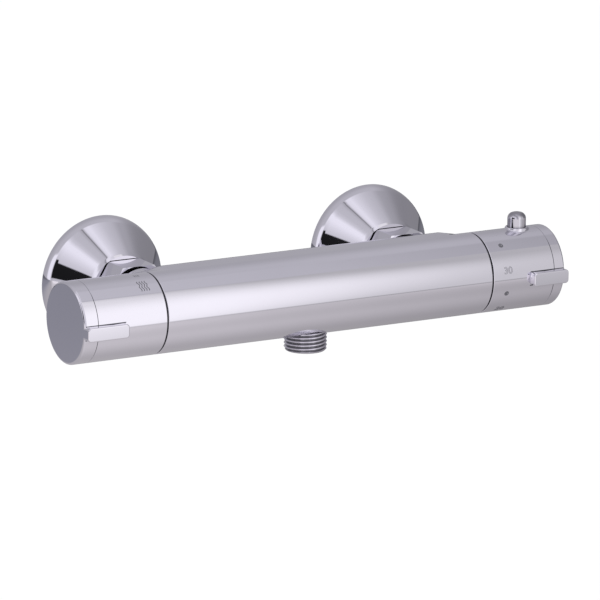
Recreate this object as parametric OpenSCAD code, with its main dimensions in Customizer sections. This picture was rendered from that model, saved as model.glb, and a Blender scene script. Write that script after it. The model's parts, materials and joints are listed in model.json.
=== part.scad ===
// Thermostatic bar valve for a shower, with two wall inlets and an outlet below.
// The bar lies along X, the wall is the plane y = 0 and the outlet points down.
// Lengths are millimetres. Places along the bar count from the middle of the inlets.
// Angles round the bar count up from its front. Threads are plain at full diameter.

/* [Bar] */
// radius of the bar, the handles and their caps
bar_r = 20; // [20:0.25:22]
// distance from the wall to the axis of the bar
wall_reach = 70.6; // [68:0.2:80]
// half the distance between the two inlets
inlet_half = 75; // [74:0.25:76]
// how far the rear half of the bar is set back from the front half
spine_shift = 6.8; // [6.6:0.1:8]
// length of the flow handle with its cap, from the middle of its seam
flow_len = 45; // [44.4:0.2:53.4]
// length of the temperature handle with its cap, from the middle of its seam
temp_len = 41; // [40.4:0.2:48]
// distance from the hot inlet to the middle of the flow handle's seam
flow_seam = 11.6; // [11:0.2:12]
// distance from the cold inlet to the middle of the temperature handle's seam
temp_seam = 19.1; // [18.8:0.1:19.6]
// width of both seams
seam_gap = 0.8; // [0.6:0.1:1]
// taper of the shoulders at the ends of the rear half, degrees
shoulder_taper = 11; // [9:0.5:14]
// corner radius of those shoulders
shoulder_r = 5.5; // [4:0.5:7]
// radius at which the corner of the shoulder is centred
shoulder_at = 13; // [12:0.25:13]
// length of the spigots that carry the handles
spigot_len = 5.5; // [5:0.1:5.5]

/* [Handles] */
// wall of the handle sleeves
sleeve_wall = 2.8; // [2.4:0.1:3]
// length of the flow cap beyond its joint line
flow_cap_len = 7.5; // [7:0.5:9]
// length of the temperature cap beyond its joint line
temp_cap_len = 6.1; // [6:0.1:8]
// rounding of the outer edge of the caps
edge_r = 1.25; // [0.8:0.05:2]
// thickness of the cap face
cap_face = 1.7; // [1.4:0.1:2]
// wall of the skirt that plugs the cap into the sleeve
cap_skirt_wall = 2; // [1.5:0.25:3]
// depth of that skirt
cap_skirt_len = 2.2; // [1.5:0.1:2.4]
// height of the finger lugs
lug_h = 6.8; // [6:0.2:9]
// how far the lugs stand out of the bar
lug_rise = 3.8; // [3:0.2:6]
// length of the flow lug
flow_lug_len = 22.3; // [16:0.5:26]
// length of the temperature lug
temp_lug_len = 19.7; // [16:0.5:22]
// how far the middle of the lugs lies below the axis
lug_drop = 1; // [0:0.5:2]
// corner radius of the lugs
lug_r = 1.7; // [1:0.1:3]
// thickness of the web that carries a sleeve on its adapter
web_t = 3; // [2.4:0.2:3]
// distance from the web to the joint line of the cap
web_back = 2.6; // [2.5:0.1:3]
// radius of the splined hub of the adapters
hub_r = 6; // [5.5:0.25:6.5]
// radius of the adapters behind the web
adapter_r = 8.5; // [8:0.1:8.6]
// wall of the glide rings on the spigots
glide_wall = 0.6; // [0.5:0.05:0.7]
// radius of the screws that hold the handles
handle_screw_r = 2; // [1.8:0.1:2.1]
// how far those screws go into the spindles
screw_grip = 6; // [5:0.5:7]
// height of their heads
screw_head_h = 2.7; // [2.4:0.1:2.9]
// distance from the end of a spindle to the web of its handle
spline_gap = 2; // [1.5:0.25:2.5]

/* [Safety button] */
// distance from the button to the web of its handle
button_at = 4.4; // [4:0.1:5.4]
// radius of the button
button_r = 4.58; // [4.2:0.05:4.7]
// height of the button above the bar
button_rise = 8.3; // [6:0.1:10]
// rise of its domed top
button_dome = 1.1; // [0.5:0.1:2]
// radius of the stem
stem_r = 2.5; // [2.2:0.1:2.6]
// travel of the button
button_travel = 2.3; // [2.2:0.1:2.6]
// radius of the collar round the button on the sleeve
collar_r = 5.7; // [5.4:0.1:6.5]
// height of that collar above the bar
collar_rise = 0.9; // [0.5:0.1:1.5]
// radius of the guide boss inside the sleeve
guide_r = 6.6; // [6:0.1:7]
// distance from the axis to the inner end of the guide boss
guide_low = 14.4; // [14.4:0.1:14.8]
// thickness of the floor of the guide boss
guide_floor = 1.5; // [1.2:0.1:1.8]
// distance from the axis to the foot of the stem
stem_low = 11.6; // [11.5:0.1:12]
// length of the foot below the notch, which meets the safety tooth
stem_foot = 1.5; // [1.2:0.1:1.6]
// height of the notch that lets the safety tooth pass when pressed
stem_notch = 3.2; // [3:0.1:3.4]
// how far the stem is screwed into the button
stem_grip = 2; // [1.5:0.25:2.5]
// reach of the tab that keeps the stem in the handle
stem_tab = 3.6; // [3.3:0.1:3.8]
// thickness of that tab
stem_tab_t = 0.9; // [0.7:0.1:0.9]
// wall of the button's hollow head
button_wall = 0.9; // [0.8:0.1:1.2]
// length of the button's hollow
button_hollow = 5; // [4.5:0.25:6]

/* [Inlets] */
// radius of the inlet bosses on the bar
boss_r = 14.5; // [14:0.25:15]
// end of the bosses, from the axis of the bar
boss_end = 29; // [28.5:0.25:30]
// radius of the thread that holds the inlet tails
tail_thread_r = 10; // [9.8:0.1:10.4]
// depth of that thread
tail_thread_len = 9; // [8:0.5:9]
// radius of the tail tube
tail_r = 11.6; // [11.2:0.1:11.8]
// radius of the tail collar that the union nut pulls on
tail_collar_r = 12.7; // [12.4:0.1:12.9]
// length of the tail collar
tail_collar_len = 2.8; // [2:0.2:4]
// end of the tails, from the axis of the bar
tail_end = 40; // [39.5:0.25:41]
// radius of the water way in the inlets
inlet_bore_r = 8.5; // [8:0.1:8.6]
// thickness of the filter washers
washer_t = 2; // [1.5:0.25:3]
// size of the union nuts across flats
nut_af = 30; // [30:0.5:32]
// start of the union nuts, from the axis of the bar
nut_start = 31.2; // [30.5:0.1:32]
// length of the union nuts
nut_len = 14.8; // [14:0.2:15.2]
// chamfer of the nuts
nut_chamfer = 0.9; // [0.5:0.1:1.5]
// major radius of the G3/4 thread
g34_r = 13.2205; // [13.2205]
// major radius of the G1/2 thread
g12_r = 10.4775; // [10.4775]
// length of the G3/4 thread on the S-unions behind the collar of the wall cover
g34_len = 3.6; // [3.2:0.2:5]
// length of the wrench body of the S-unions
s_body_len = 6; // [5:0.5:7]
// how far the wall thread is set off the inlet axis
s_offset = 5.5; // [4:0.5:6]
// how far the wall thread goes into the wall
wall_thread_len = 14; // [12:0.5:18]
// radius of the bore of the wall thread
s_bore_r = 7.5; // [6.5:0.25:8]
// radius of the wrench body of the S-unions
s_body_r = 12.2; // [11.8:0.1:12.6]
// thickness of the filter screen
screen_t = 0.6; // [0.4:0.1:0.8]
// radius of the holes in the filter screen
screen_hole_r = 0.8; // [0.6:0.1:0.9]

/* [Wall covers] */
// radius of the rim of the wall covers
cover_r = 32.2; // [31:0.2:36]
// radius of their neck
cover_neck_r = 18.3; // [17.8:0.1:19]
// distance from the wall to the front of the neck
cover_depth = 23.7; // [22:0.1:24]
// distance from the wall to the centre of the shoulder rounding
cover_rim = 3.7; // [3.3:0.1:5]
// rounding of the shoulder and of the neck
cover_round = 2.2; // [1.8:0.1:2.6]
// thickness of the cover
cover_wall = 1.3; // [1:0.1:1.5]
// outer radius of the threaded collar inside the neck
cover_collar_r = 15.4; // [15:0.1:16]
// length of the threaded collar
cover_collar_len = 7; // [5:0.5:9]

/* [Outlet] */
// depth of the seat of the outlet nipple, below the axis
outlet_seat = 16; // [15.8:0.1:16.2]
// length of the outlet thread below the bar
outlet_len = 7.7; // [7:0.1:12]
// thickness of the outlet gasket
outlet_gasket_t = 0.6; // [0.5:0.1:1]
// radius of the thread that holds the nipple in the bar
outlet_screw_r = 9.2; // [9:0.1:9.5]
// length of that thread
outlet_screw_len = 3.4; // [3:0.1:3.5]
// radius of the bore through the nipple
outlet_bore_r = 6.6; // [6:0.1:7]

/* [Waterways] */
// radius of the mixed water duct along the axis
duct_r = 6.8; // [6.2:0.1:6.8]
// radius of the outlet channel
outlet_channel_r = 3.5; // [3:0.1:3.6]
// distance of the outlet channel below the axis
outlet_channel_drop = 13; // [12.8:0.1:13.2]
// radius of the hot channel
hot_channel_r = 4.5; // [4:0.1:4.5]
// distance of the hot channel behind the axis
hot_channel_back = 18.5; // [18.5:0.1:18.8]
// top of the outlet pocket, below the axis
outlet_pocket_top = 9.4; // [9.2:0.1:9.8]

/* [Temperature cartridge] */
// radius of the cartridge cavity in the bar
cart_r = 15; // [15:0.05:15.2]
// distance from the end of the bar to the cavity floor
cart_floor = 57.7; // [57.2:0.25:58.2]
// radius of the smaller bore for the cartridge nose
nose_r = 11; // [10.8:0.1:11.2]
// length of the nose
nose_len = 9.6; // [9:0.2:10]
// radius of the outlet hole in the nose
nose_hole_r = 6.4; // [6:0.1:6.6]
// radius of the bore that the shuttle slides in
shuttle_bore_r = 10; // [10:0.05:10.2]
// radius of the bore that the setting nut slides in
setting_bore_r = 9.3; // [9.2:0.05:9.4]
// radius of the housing between its lands
waist_r = 12.5; // [12.2:0.1:12.8]
// length of the hot annulus
hot_zone = 10.4; // [10:0.2:10.6]
// length of the land between hot and cold
mid_land = 5.5; // [5:0.25:6]
// length of the cold annulus
cold_zone = 30; // [29.5:0.25:30]
// length of the outer land
outer_land = 5.5; // [5:0.25:5.5]
// thickness of the flange of the end piece
end_flange_t = 2; // [1.6:0.1:2]
// length of the end piece inside the housing
end_spigot_len = 4; // [3.8:0.1:4.2]
// depth of the return spring's seat below the cavity floor
spring_seat = 2; // [1.5:0.25:2.5]
// width of the housing's inner rim
rim_land = 0.4; // [0.3:0.1:0.6]
// angle of each window, degrees
window_turn = 68; // [60:1:72]
// width of the hot and cold windows
window_w = 2.5; // [2:0.1:2.8]
// opening that the shuttle leaves on the hot side at rest
hot_opening = 1; // [0.9:0.05:1.2]
// opening that the shuttle leaves on the cold side at rest
cold_opening = 1; // [0.9:0.05:1.2]
// length of the shuttle
shuttle_len = 17; // [16:0.25:17.5]
// wall of the shuttle
shuttle_wall = 1.3; // [1.1:0.1:1.5]
// thickness of the web in the shuttle
shuttle_web = 2; // [1.8:0.1:2.4]
// radius of the wax element
wax_r = 5; // [4.6:0.1:5]
// length of the wax bulb in front of the shuttle web
wax_bulb = 14.5; // [13:0.5:14.5]
// radius of the element's flange
wax_flange_r = 6; // [5.8:0.1:6.1]
// thickness of the element's flange
wax_flange_t = 2; // [1.6:0.2:2.2]
// radius of the element's guide
wax_guide_r = 3.2; // [3:0.1:3.5]
// length of the element's guide
wax_guide_len = 4.5; // [4:0.25:5]
// radius of the piston
piston_r = 1.6; // [1.4:0.1:1.8]
// how far the piston stands out of its guide
piston_out = 7; // [6.5:0.25:7]
// length of the piston inside the guide
piston_in = 3; // [2.5:0.25:3.5]
// length of the setting nut
setting_len = 18; // [17:0.5:18]
// wall of the setting nut round the overload cup
setting_wall = 2.8; // [2.6:0.1:2.9]
// how far the overload cup stands out of the nut
cup_reach = 1; // [0.8:0.1:1.2]
// radius of the cup's nose
cup_nose_r = 4.6; // [4.2:0.1:4.7]
// depth of the cup's bore in the setting nut
cup_depth = 9.4; // [9:0.2:9.6]
// thickness of the cup's flange
cup_flange_t = 1.4; // [1.2:0.1:1.6]
// width of the two keys on the setting nut
key_w = 3.2; // [2.6:0.2:4]
// height of those keys
key_rise = 1.1; // [0.8:0.1:1.2]
// radius of the spindle thread in the setting nut
screw_r = 5; // [4.8:0.1:5]
// lead of that thread
screw_lead = 3; // [2:0.5:3]
// radius of the setting spindle's shaft
spindle_r = 4.5; // [4.3:0.1:4.5]
// radius of the spindle's thrust collar
thrust_r = 6.8; // [6.5:0.1:7]
// thickness of the thrust collar
thrust_t = 1.8; // [1.5:0.1:2]
// distance from the overload spring's seat to the end of the spindle
screw_gap = 1.6; // [1.4:0.1:1.8]
// thickness of the housing's wall behind the thrust collar
end_wall = 1.3; // [1.2:0.1:1.5]
// distance from the housing's outer face to the spindle's sealing ring
seal_at = 6; // [5:0.25:7]
// radius of the neck of the cartridge housing
neck_r = 9; // [8.8:0.1:9]
// length of the neck of the cartridge housing
neck_len = 18; // [17:0.5:18]
// size of the cartridge nut across flats
cart_nut_af = 25; // [24:0.5:26]
// height of the hexagon of the cartridge nut
cart_nut_h = 4; // [3.5:0.25:4]

/* [Stops] */
// outer radius of the stop ring sleeve
stop_r = 11.2; // [11:0.1:11.2]
// outer radius of the stop teeth
tooth_r = 13.3; // [13:0.1:13.3]
// length of the crown that carries the teeth
crown_len = 4.5; // [4:0.5:6]
// distance from the longer teeth to the web of the handle
tooth_gap = 2.1; // [1.9:0.1:2.4]
// handle angle from rest to the safety stop, degrees
safe_turn = 77; // [70:1:80]
// handle angle from rest to the cold stop, degrees
cold_turn = 80; // [70:1:84]
// further angle past the safety stop with the button pressed, degrees
override_turn = 35; // [30:1:38]
// width of the stop teeth, degrees
tooth_w = 9; // [7:0.5:10]

/* [Flow control] */
// radius of the headwork cavity in the bar
head_r = 12; // [11.8:0.1:12]
// distance from the end of the bar to the headwork seat
head_floor = 30.2; // [29.7:0.25:30.7]
// radius of the ceramic discs
disc_r = 9.4; // [9.2:0.1:9.4]
// thickness of the fixed disc
fixed_disc_t = 2.7; // [2.4:0.1:3]
// thickness of the moving disc
moving_disc_t = 3; // [2.8:0.1:3.2]
// thickness of the seal under the fixed disc
disc_seal_t = 1.6; // [1.4:0.1:1.8]
// inner radius of the openings in the discs
port_low = 2.2; // [2:0.1:2.6]
// length of the spindle's driving legs
leg_len = 8.2; // [8:0.1:8.4]
// thickness of the driving legs
leg_t = 2; // [1.8:0.1:2.1]
// width of the driving legs, degrees
leg_w = 28; // [24:1:32]
// thickness of the driver plate
driver_t = 2.2; // [2:0.1:2.3]
// thickness of the stop tab on the driver plate
tab_t = 2.6; // [2.4:0.1:2.7]
// inner radius of the fixed stop in the chamber
stop_low = 6; // [5.8:0.1:6.4]
// distance from the discs to the windows in the skirt
window_gap = 2; // [1.6:0.1:2.4]
// angle of each window in the skirt, degrees
skirt_window = 57; // [50:1:60]
// width of the openings in the discs, degrees
port_w = 80; // [70:1:84]
// wall of the headwork skirt
skirt_wall = 0.85; // [0.8:0.05:0.9]
// depth of the headwork chamber
chamber_len = 18.4; // [18:0.2:19]
// length of the headwork's thread
head_thread_len = 18.2; // [18:0.1:18.4]
// size of the headwork's hexagon across flats
head_af = 25; // [24:0.5:26]
// height of that hexagon
head_hex_h = 5.8; // [5:0.2:6]
// radius of the headwork neck
head_neck_r = 8; // [7.6:0.2:8.4]
// length of the headwork neck
head_neck_len = 9.4; // [9:0.2:9.6]
// turn of the flow handle from closed to fully open, degrees
flow_turn = 90; // [80:1:90]
// thickness of the headwork gasket
head_gasket_t = 0.5; // [0.4:0.05:0.6]
// outer radius of the headwork gasket
head_gasket_r = 14.2; // [13.6:0.1:14.4]

/* [Check valves] */
// radius of the check valve housing
check_r = 7.5; // [7.3:0.1:7.6]
// length of the check valve housing
check_len = 11.8; // [11:0.2:12.4]
// wall of the housing
check_wall = 1.8; // [1.5:0.1:2]
// thickness of the seat lip and of the guide
check_lip = 1.3; // [1:0.1:1.6]
// radius of the opening in the seat
check_seat_r = 4.4; // [4:0.1:4.8]
// radius of the poppet
poppet_r = 5.1; // [5:0.1:5.3]
// thickness of the poppet
poppet_t = 1.5; // [1.2:0.1:1.8]
// radius of the poppet's stem
poppet_stem_r = 1; // [0.9:0.05:1.1]
// how far the stem stands out of its guide
poppet_tail = 1.5; // [1:0.1:2]
// depth of the check valves inside the bosses
check_at = 5; // [4.5:0.1:5.5]

/* [Springs and seals] */
// wire radius of the return spring
return_wire = 0.6; // [0.4:0.05:0.65]
// coil radius of the return spring
return_coil = 7.4; // [7.2:0.05:7.6]
// turns of the return spring
return_turns = 6; // [4:1:7]
// wire radius of the overload spring
overload_wire = 0.7; // [0.5:0.05:0.75]
// coil radius of the overload spring
overload_coil = 5; // [4.6:0.1:5.4]
// turns of the overload spring
overload_turns = 3; // [2:1:3]
// wire radius of the button spring
button_wire = 0.3; // [0.2:0.05:0.35]
// turns of the button spring
button_turns = 5; // [4:1:6]
// wire radius of the check valve springs
check_wire = 0.3; // [0.2:0.05:0.4]
// coil radius of the check valve springs
check_coil = 2.4; // [2:0.1:3]
// turns of the check valve springs
check_turns = 4; // [3:1:6]
// cord radius of the large sealing rings
oring_big = 0.95; // [0.8:0.05:1]
// cord radius of the small sealing rings
oring_small = 0.75; // [0.6:0.05:0.8]
// thickness of the retaining clips
clip_t = 0.7; // [0.6:0.1:0.8]
// radial width of the retaining clips
clip_w = 2.4; // [2:0.1:2.6]
// depth of the clip grooves
clip_deep = 0.5; // [0.4:0.1:0.7]

/* [Hidden] */
// clearance of pieces that are screwed or pushed together
fit = 0.05;
// clearance of turning and sliding fits
run = 0.1;
// free play between faces that must never rub
play = 0.3;
// overrun of every cut
cut = 1;
// smallest step that closes a curved joint inside one piece
bite = 0.4;

// stations of the seams and joint lines
flow_seam_x = inlet_half + flow_seam;
temp_seam_x = inlet_half + temp_seam;
body_left = flow_seam_x - seam_gap / 2;
body_right = temp_seam_x - seam_gap / 2;
sleeve_bore_r = bar_r - sleeve_wall;
spigot_r = sleeve_bore_r - glide_wall;
temp_joint = temp_seam_x + temp_len - temp_cap_len;
flow_joint = flow_seam_x + flow_len - flow_cap_len;
temp_web = temp_joint - web_back - web_t;
flow_web = flow_joint - web_back - web_t;
button_x = temp_web - button_at;

// stations of the cartridge, from the cavity floor outwards
cart_x = body_right - cart_floor;
house_start = cart_x + end_flange_t;
mid_start = house_start + rim_land + hot_zone;
cold_start = mid_start + mid_land;
outer_start = cold_start + cold_zone;
house_end = outer_start + outer_land;
neck_end = house_end + neck_len;
hot_seat = house_start + end_spigot_len;
shuttle_start = hot_seat + hot_opening;
shuttle_end = shuttle_start + shuttle_len;
cold_seat = shuttle_end + cold_opening;
web_start = shuttle_start + (shuttle_len - shuttle_web) / 2;
web_end = web_start + shuttle_web;
wax_start = web_start - wax_bulb;
wax_flange_end = web_end + wax_flange_t;
wax_guide_end = wax_flange_end + wax_guide_len;
piston_end = wax_guide_end + piston_out;
nut_front = piston_end + cup_reach;
nut_back = nut_front + setting_len;
cup_bore_r = setting_bore_r - run - setting_wall;
cup_bore_end = nut_front + cup_depth;
clip_seat = nut_front + clip_t;
cup_flange = clip_seat + clip_t + run;
wall_start = house_end - end_wall;
thrust_end = wall_start - run;
thrust_start = thrust_end - thrust_t;
screw_start = cup_bore_end + screw_gap;
spindle_end = temp_web - spline_gap;
key_r = setting_bore_r - run + key_rise;
spline_r = spindle_r - play;
hex_start = body_right + spigot_len + run;
stop_start = hex_start + cart_nut_h + play;
crown_end = button_x - stem_r - play;
safe_tooth_end = button_x - play;
end_tooth_end = temp_web - tooth_gap;

// angles of the stop teeth round the bar; the button's stem starts at the top
stem_half = asin((stem_r + 2 * run) / stop_r);
safe_edge = 90 - safe_turn - stem_half;
hot_edge = safe_edge - override_turn;
cold_edge = 90 + cold_turn + stem_half;

// stations of the flow control, outwards from the headwork seat
head_x = body_left - head_floor;
fixed_start = head_x + disc_seal_t;
moving_start = fixed_start + fixed_disc_t + fit;
leg_start = moving_start + moving_disc_t / 2;
leg_end = leg_start + leg_len;
driver_end = leg_end + driver_t;
tab_end = driver_end + tab_t;
chamber_end = fixed_start + chamber_len;
head_hex = body_left + spigot_len + head_gasket_t;
head_neck = head_hex + head_hex_h;
head_end = head_neck + head_neck_len;
chamber_r = disc_r + run + fit;
window_start = leg_start + window_gap;
window_end = leg_end - play;
head_thread = head_hex - head_thread_len;
free_half = (flow_turn + port_w) / 2;

// stations of the inlets, from the axis of the bar towards the wall
tail_start = boss_end - tail_thread_len;
collar_start = tail_end - tail_collar_len;
union_face = tail_end + washer_t;
cover_front = wall_reach - cover_depth;
collar_end = cover_front + cover_collar_len;
g34_end = collar_end + g34_len;
s_body_end = g34_end + s_body_len;
check_start = boss_end - check_at;
check_end = check_start + check_len;
poppet_front = check_end - check_lip - run;

// facets of large, middle and small round surfaces
fine = 64;
middle = 36;
small = 24;

// Placing

// moves pieces drawn round the axis of the bar to their place before the wall
module at_bar() { translate([0, -wall_reach, 0]) children(); }

// mirrors pieces drawn for the right to the flow side
module on_left() { mirror([1, 0, 0]) children(); }

// turns a profile of [radius, station] points into a solid round X
module turned(facets = middle) {
    rotate([0, 90, 0]) rotate_extrude($fn = facets) children();
}

// the same round an axis that points to the wall
module turned_y(facets = middle) {
    rotate([-90, 0, 0]) rotate_extrude($fn = facets) children();
}

// solid round bar along X between two stations
module rod(from, to, r, facets = middle) {
    translate([from, 0, 0]) rotate([0, 90, 0]) cylinder(r = r, h = to - from, $fn = facets);
}

// solid round bar towards the wall between two stations
module rod_y(from, to, r, facets = middle) {
    translate([0, from, 0]) rotate([-90, 0, 0]) cylinder(r = r, h = to - from, $fn = facets);
}

// tube along X
module pipe(from, to, outer, inner, facets = middle) {
    difference() {
        rod(from, to, outer, facets);
        rod(from - cut, to + cut, inner, facets);
    }
}

// part of a ring along X between two angles up from the front
module sector(from, to, inner, outer, low, high) {
    rotate([0, 90, 0]) rotate([0, 0, -90 - high])
        rotate_extrude(angle = high - low, $fn = middle)
            translate([inner, from]) square([outer - inner, to - from]);
}

// sealing ring of round cord on the axis X
module cord_ring(at, r, cord) {
    turned() translate([r, at]) circle(r = cord, $fn = small);
}

// rectangle with round corners, centred
module round_rect(w, h, r) {
    square([w - 2 * r, h], center = true);
    square([w, h - 2 * r], center = true);
    for (sx = [-1, 1], sz = [-1, 1])
        translate([sx * (w / 2 - r), sz * (h / 2 - r)]) circle(r = r, $fn = small);
}

// coil spring along Z from z = 0, made as one swept hexagonal wire
coil_steps = 14;
wire_sides = 6;
function coil_point(t, k, r, wire, length, turns) =
    let (
        turn = 360 * turns * t,
        lift = wire + (length - 2 * wire) * t,
        out = r + wire * cos(360 * k / wire_sides)
    )
    [out * cos(turn), out * sin(turn), lift + wire * sin(360 * k / wire_sides)];
module coil(r, wire, length, turns) {
    steps = coil_steps * turns;
    last = steps * wire_sides;
    points = [for (i = [0:steps], k = [0:wire_sides - 1])
        coil_point(i / steps, k, r, wire, length, turns)];
    sides = [for (i = [0:steps - 1], k = [0:wire_sides - 1])
        let (a = i * wire_sides, b = a + wire_sides, n = (k + 1) % wire_sides)
            [a + k, b + k, b + n, a + n]];
    start = [for (k = [0:wire_sides - 1]) k];
    finish = [for (k = [wire_sides - 1:-1:0]) last + k];
    polyhedron(points = points, faces = concat([start, finish], sides), convexity = 8);
}

// Bar

// outline of the rear half as [radius, station], with tapered round shoulders
module spine_profile() {
    top = bar_r;
    corner = shoulder_r * [cos(shoulder_taper), sin(shoulder_taper)];
    rim_r = shoulder_at + corner[0];
    taper_len = (top - rim_r) / tan(shoulder_taper);
    left = body_left - shoulder_r;
    right = body_right - shoulder_r;
    polygon([
        [0, -body_left], [shoulder_at, -body_left], [rim_r, -left - corner[1]],
        [top, -left - corner[1] + taper_len], [top, right + corner[1] - taper_len],
        [rim_r, right + corner[1]], [shoulder_at, body_right], [0, body_right]
    ]);
    for (at = [-left, right]) translate([shoulder_at, at]) circle(r = shoulder_r, $fn = middle);
}

module bar_outside() {
    rod(-body_left, body_right, bar_r, fine);
    translate([0, spine_shift, 0]) turned(fine) spine_profile();
    // flat stretch between the front and the rear half
    rotate([-90, 0, 0]) linear_extrude(height = spine_shift)
        for (side = [0, 1]) mirror([0, side, 0]) rotate([0, 0, -90]) mirror([1, 0, 0])
            spine_profile();
    // inlet bosses, kept behind the handles where they reach past the seams
    for (side = [-1, 1]) {
        translate([side * inlet_half, 0, 0]) rod_y(bar_r + play, boss_end, boss_r, fine);
        intersection() {
            translate([side * inlet_half, 0, 0]) rod_y(duct_r, bar_r + cut, boss_r, fine);
            rod(-body_left, body_right, 2 * bar_r, fine);
        }
    }
    rod(-body_left - spigot_len, -body_left + cut, spigot_r, fine);
    rod(body_right - cut, body_right + spigot_len, spigot_r, fine);
}

module bar_waterways() {
    // mixed water duct, cartridge cavity and headwork cavity
    rod(-head_x - cut, cart_x, duct_r);
    rod(cart_x - nose_len - bite, cart_x + cut, nose_r);
    rod(cart_x, body_right + spigot_len + cut, cart_r, fine);
    rod(-body_left - spigot_len - cut, -head_x, head_r, fine);
    // hot water way through the rear half
    translate([0, hot_channel_back, 0]) rod(-inlet_half, mid_start - hot_channel_r, hot_channel_r);
    translate([mid_start - 2 * hot_channel_r, 0, 0])
        rod_y(nose_r + 2 * cut, hot_channel_back, hot_channel_r);
    translate([-inlet_half, 0, 0])
        rod_y(hot_channel_back - hot_channel_r + 2 * run, boss_end + cut, inlet_bore_r);
    // cold water goes straight into the cartridge cavity
    translate([inlet_half, 0, 0]) rod_y(0, boss_end + cut, inlet_bore_r);
    for (side = [-1, 1]) translate([side * inlet_half, 0, 0])
        rod_y(tail_start, boss_end + cut, tail_thread_r);
    // outlet channel and pocket
    translate([0, 0, -outlet_channel_drop])
        rod(-head_x - 4 * outlet_channel_r, outlet_channel_r, outlet_channel_r);
    rotate([180, 0, 0]) {
        translate([0, 0, outlet_pocket_top])
            cylinder(r = outlet_bore_r + bite, h = bar_r, $fn = middle);
        translate([0, 0, outlet_seat - outlet_screw_len])
            cylinder(r = outlet_screw_r + fit, h = bar_r, $fn = middle);
        translate([0, 0, outlet_seat])
            cylinder(r = g12_r + run, h = bar_r, $fn = middle);
    }
}

module valve_body() {
    color("lightgray") at_bar() difference() {
        bar_outside();
        bar_waterways();
    }
}

// Outlet

nipple_top = outlet_seat - outlet_screw_len + run;
nipple_seat = outlet_seat + outlet_gasket_t;
module outlet_nipple() {
    color("silver") at_bar() rotate([180, 0, 0]) difference() {
        union() {
            translate([0, 0, nipple_top])
                cylinder(r = outlet_screw_r, h = nipple_seat - nipple_top + cut, $fn = middle);
            translate([0, 0, nipple_seat])
                cylinder(r = g12_r - 2 * run, h = bar_r - nipple_seat + cut, $fn = middle);
            translate([0, 0, bar_r + run])
                cylinder(r = g12_r, h = outlet_len - run, $fn = fine);
        }
        translate([0, 0, nipple_top - cut]) cylinder(r = outlet_bore_r, h = 2 * bar_r, $fn = middle);
    }
}

module outlet_gasket() {
    color("dimgray") at_bar() rotate([180, 0, 0]) translate([0, 0, outlet_seat]) difference() {
        cylinder(r = g12_r, h = outlet_gasket_t, $fn = middle);
        translate([0, 0, -cut])
            cylinder(r = outlet_screw_r + run, h = outlet_gasket_t + 2 * cut, $fn = middle);
    }
}

// Inlets

// puts an inlet piece on the axis of one inlet, side is -1 for hot and 1 for cold
module at_inlet(side) { at_bar() translate([side * inlet_half, 0, 0]) children(); }

module inlet_tail(side) {
    color("silver") at_inlet(side) difference() {
        turned_y() polygon([
            [0, tail_start + run], [tail_thread_r - fit, tail_start + run],
            [tail_thread_r - fit, boss_end], [tail_r, boss_end], [tail_r, collar_start],
            [tail_collar_r, collar_start], [tail_collar_r, tail_end], [0, tail_end]
        ]);
        rod_y(tail_start - cut, tail_end + cut, outlet_bore_r);
        rod_y(check_start - run, tail_end + cut, check_r + fit);
        rod_y(collar_start, tail_end + cut, inlet_bore_r);
    }
}

module union_nut(side) {
    shoulder = collar_start;
    end = nut_start + nut_len;
    corner = nut_af / 2 / cos(30);
    color("silver") at_inlet(side) difference() {
        intersection() {
            translate([0, nut_start, 0]) rotate([-90, 0, 0])
                cylinder(r = corner, h = nut_len, $fn = 6);
            turned_y(fine) polygon([
                [0, nut_start], [corner - nut_chamfer, nut_start],
                [corner + fit, nut_start + nut_chamfer / 2],
                [corner + fit, end - nut_chamfer / 2], [corner - nut_chamfer, end], [0, end]
            ]);
        }
        rod_y(nut_start - cut, end + cut, tail_r + run);
        rod_y(shoulder, end + cut, g34_r + run);
    }
}

module filter_washer(side) {
    color("dimgray") at_inlet(side) difference() {
        rod_y(tail_end, union_face, tail_collar_r);
        rod_y(tail_end - cut, union_face + cut, inlet_bore_r);
    }
}

module filter_screen(side) {
    middle_y = (tail_end + union_face) / 2;
    ring_step = (inlet_bore_r - screen_hole_r) / 4;
    color("gainsboro") at_inlet(side) difference() {
        rod_y(middle_y - screen_t / 2, middle_y + screen_t / 2, inlet_bore_r - fit);
        for (ring = [1:3]) for (k = [0:6 * ring - 1])
            rotate([0, 360 * k / (6 * ring), 0]) translate([ring * ring_step, 0, 0])
                rod_y(tail_end, union_face, screen_hole_r, 14);
    }
}

module s_union(side) {
    wall_end = wall_reach + wall_thread_len;
    color("silver") at_inlet(side) difference() {
        union() {
            rod_y(union_face, g34_end, g34_r, fine);
            rod_y(g34_end - cut, s_body_end, s_body_r);
            translate([0, 0, s_offset]) {
                rod_y(g34_end, s_body_end, s_body_r);
                rod_y(s_body_end - cut, wall_end, g12_r, fine);
            }
        }
        rod_y(union_face - cut, g34_end, inlet_bore_r + bite);
        translate([0, 0, s_offset]) rod_y(g34_end - 2 * cut, wall_end + cut, s_bore_r);
    }
}

// outline of a wall cover as [radius, station], moved inwards by inset
module cover_profile(inset) {
    round_at = cover_round;
    round_r = cover_round - inset;
    neck = [cover_neck_r - round_at, cover_front + round_at];
    rim = [cover_r - round_at, wall_reach - cover_rim];
    lean = atan((rim[0] - neck[0]) / (rim[1] - neck[1]));
    out = round_r * [cos(lean), -sin(lean)];
    polygon([
        [0, neck[1] - round_r], [neck[0], neck[1] - round_r], neck + out, rim + out,
        [rim[0] + round_r, rim[1]], [rim[0] + round_r, wall_reach + inset], [0, wall_reach + inset]
    ]);
    for (at = [neck, rim]) translate(at) circle(r = round_r, $fn = middle);
}

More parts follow.
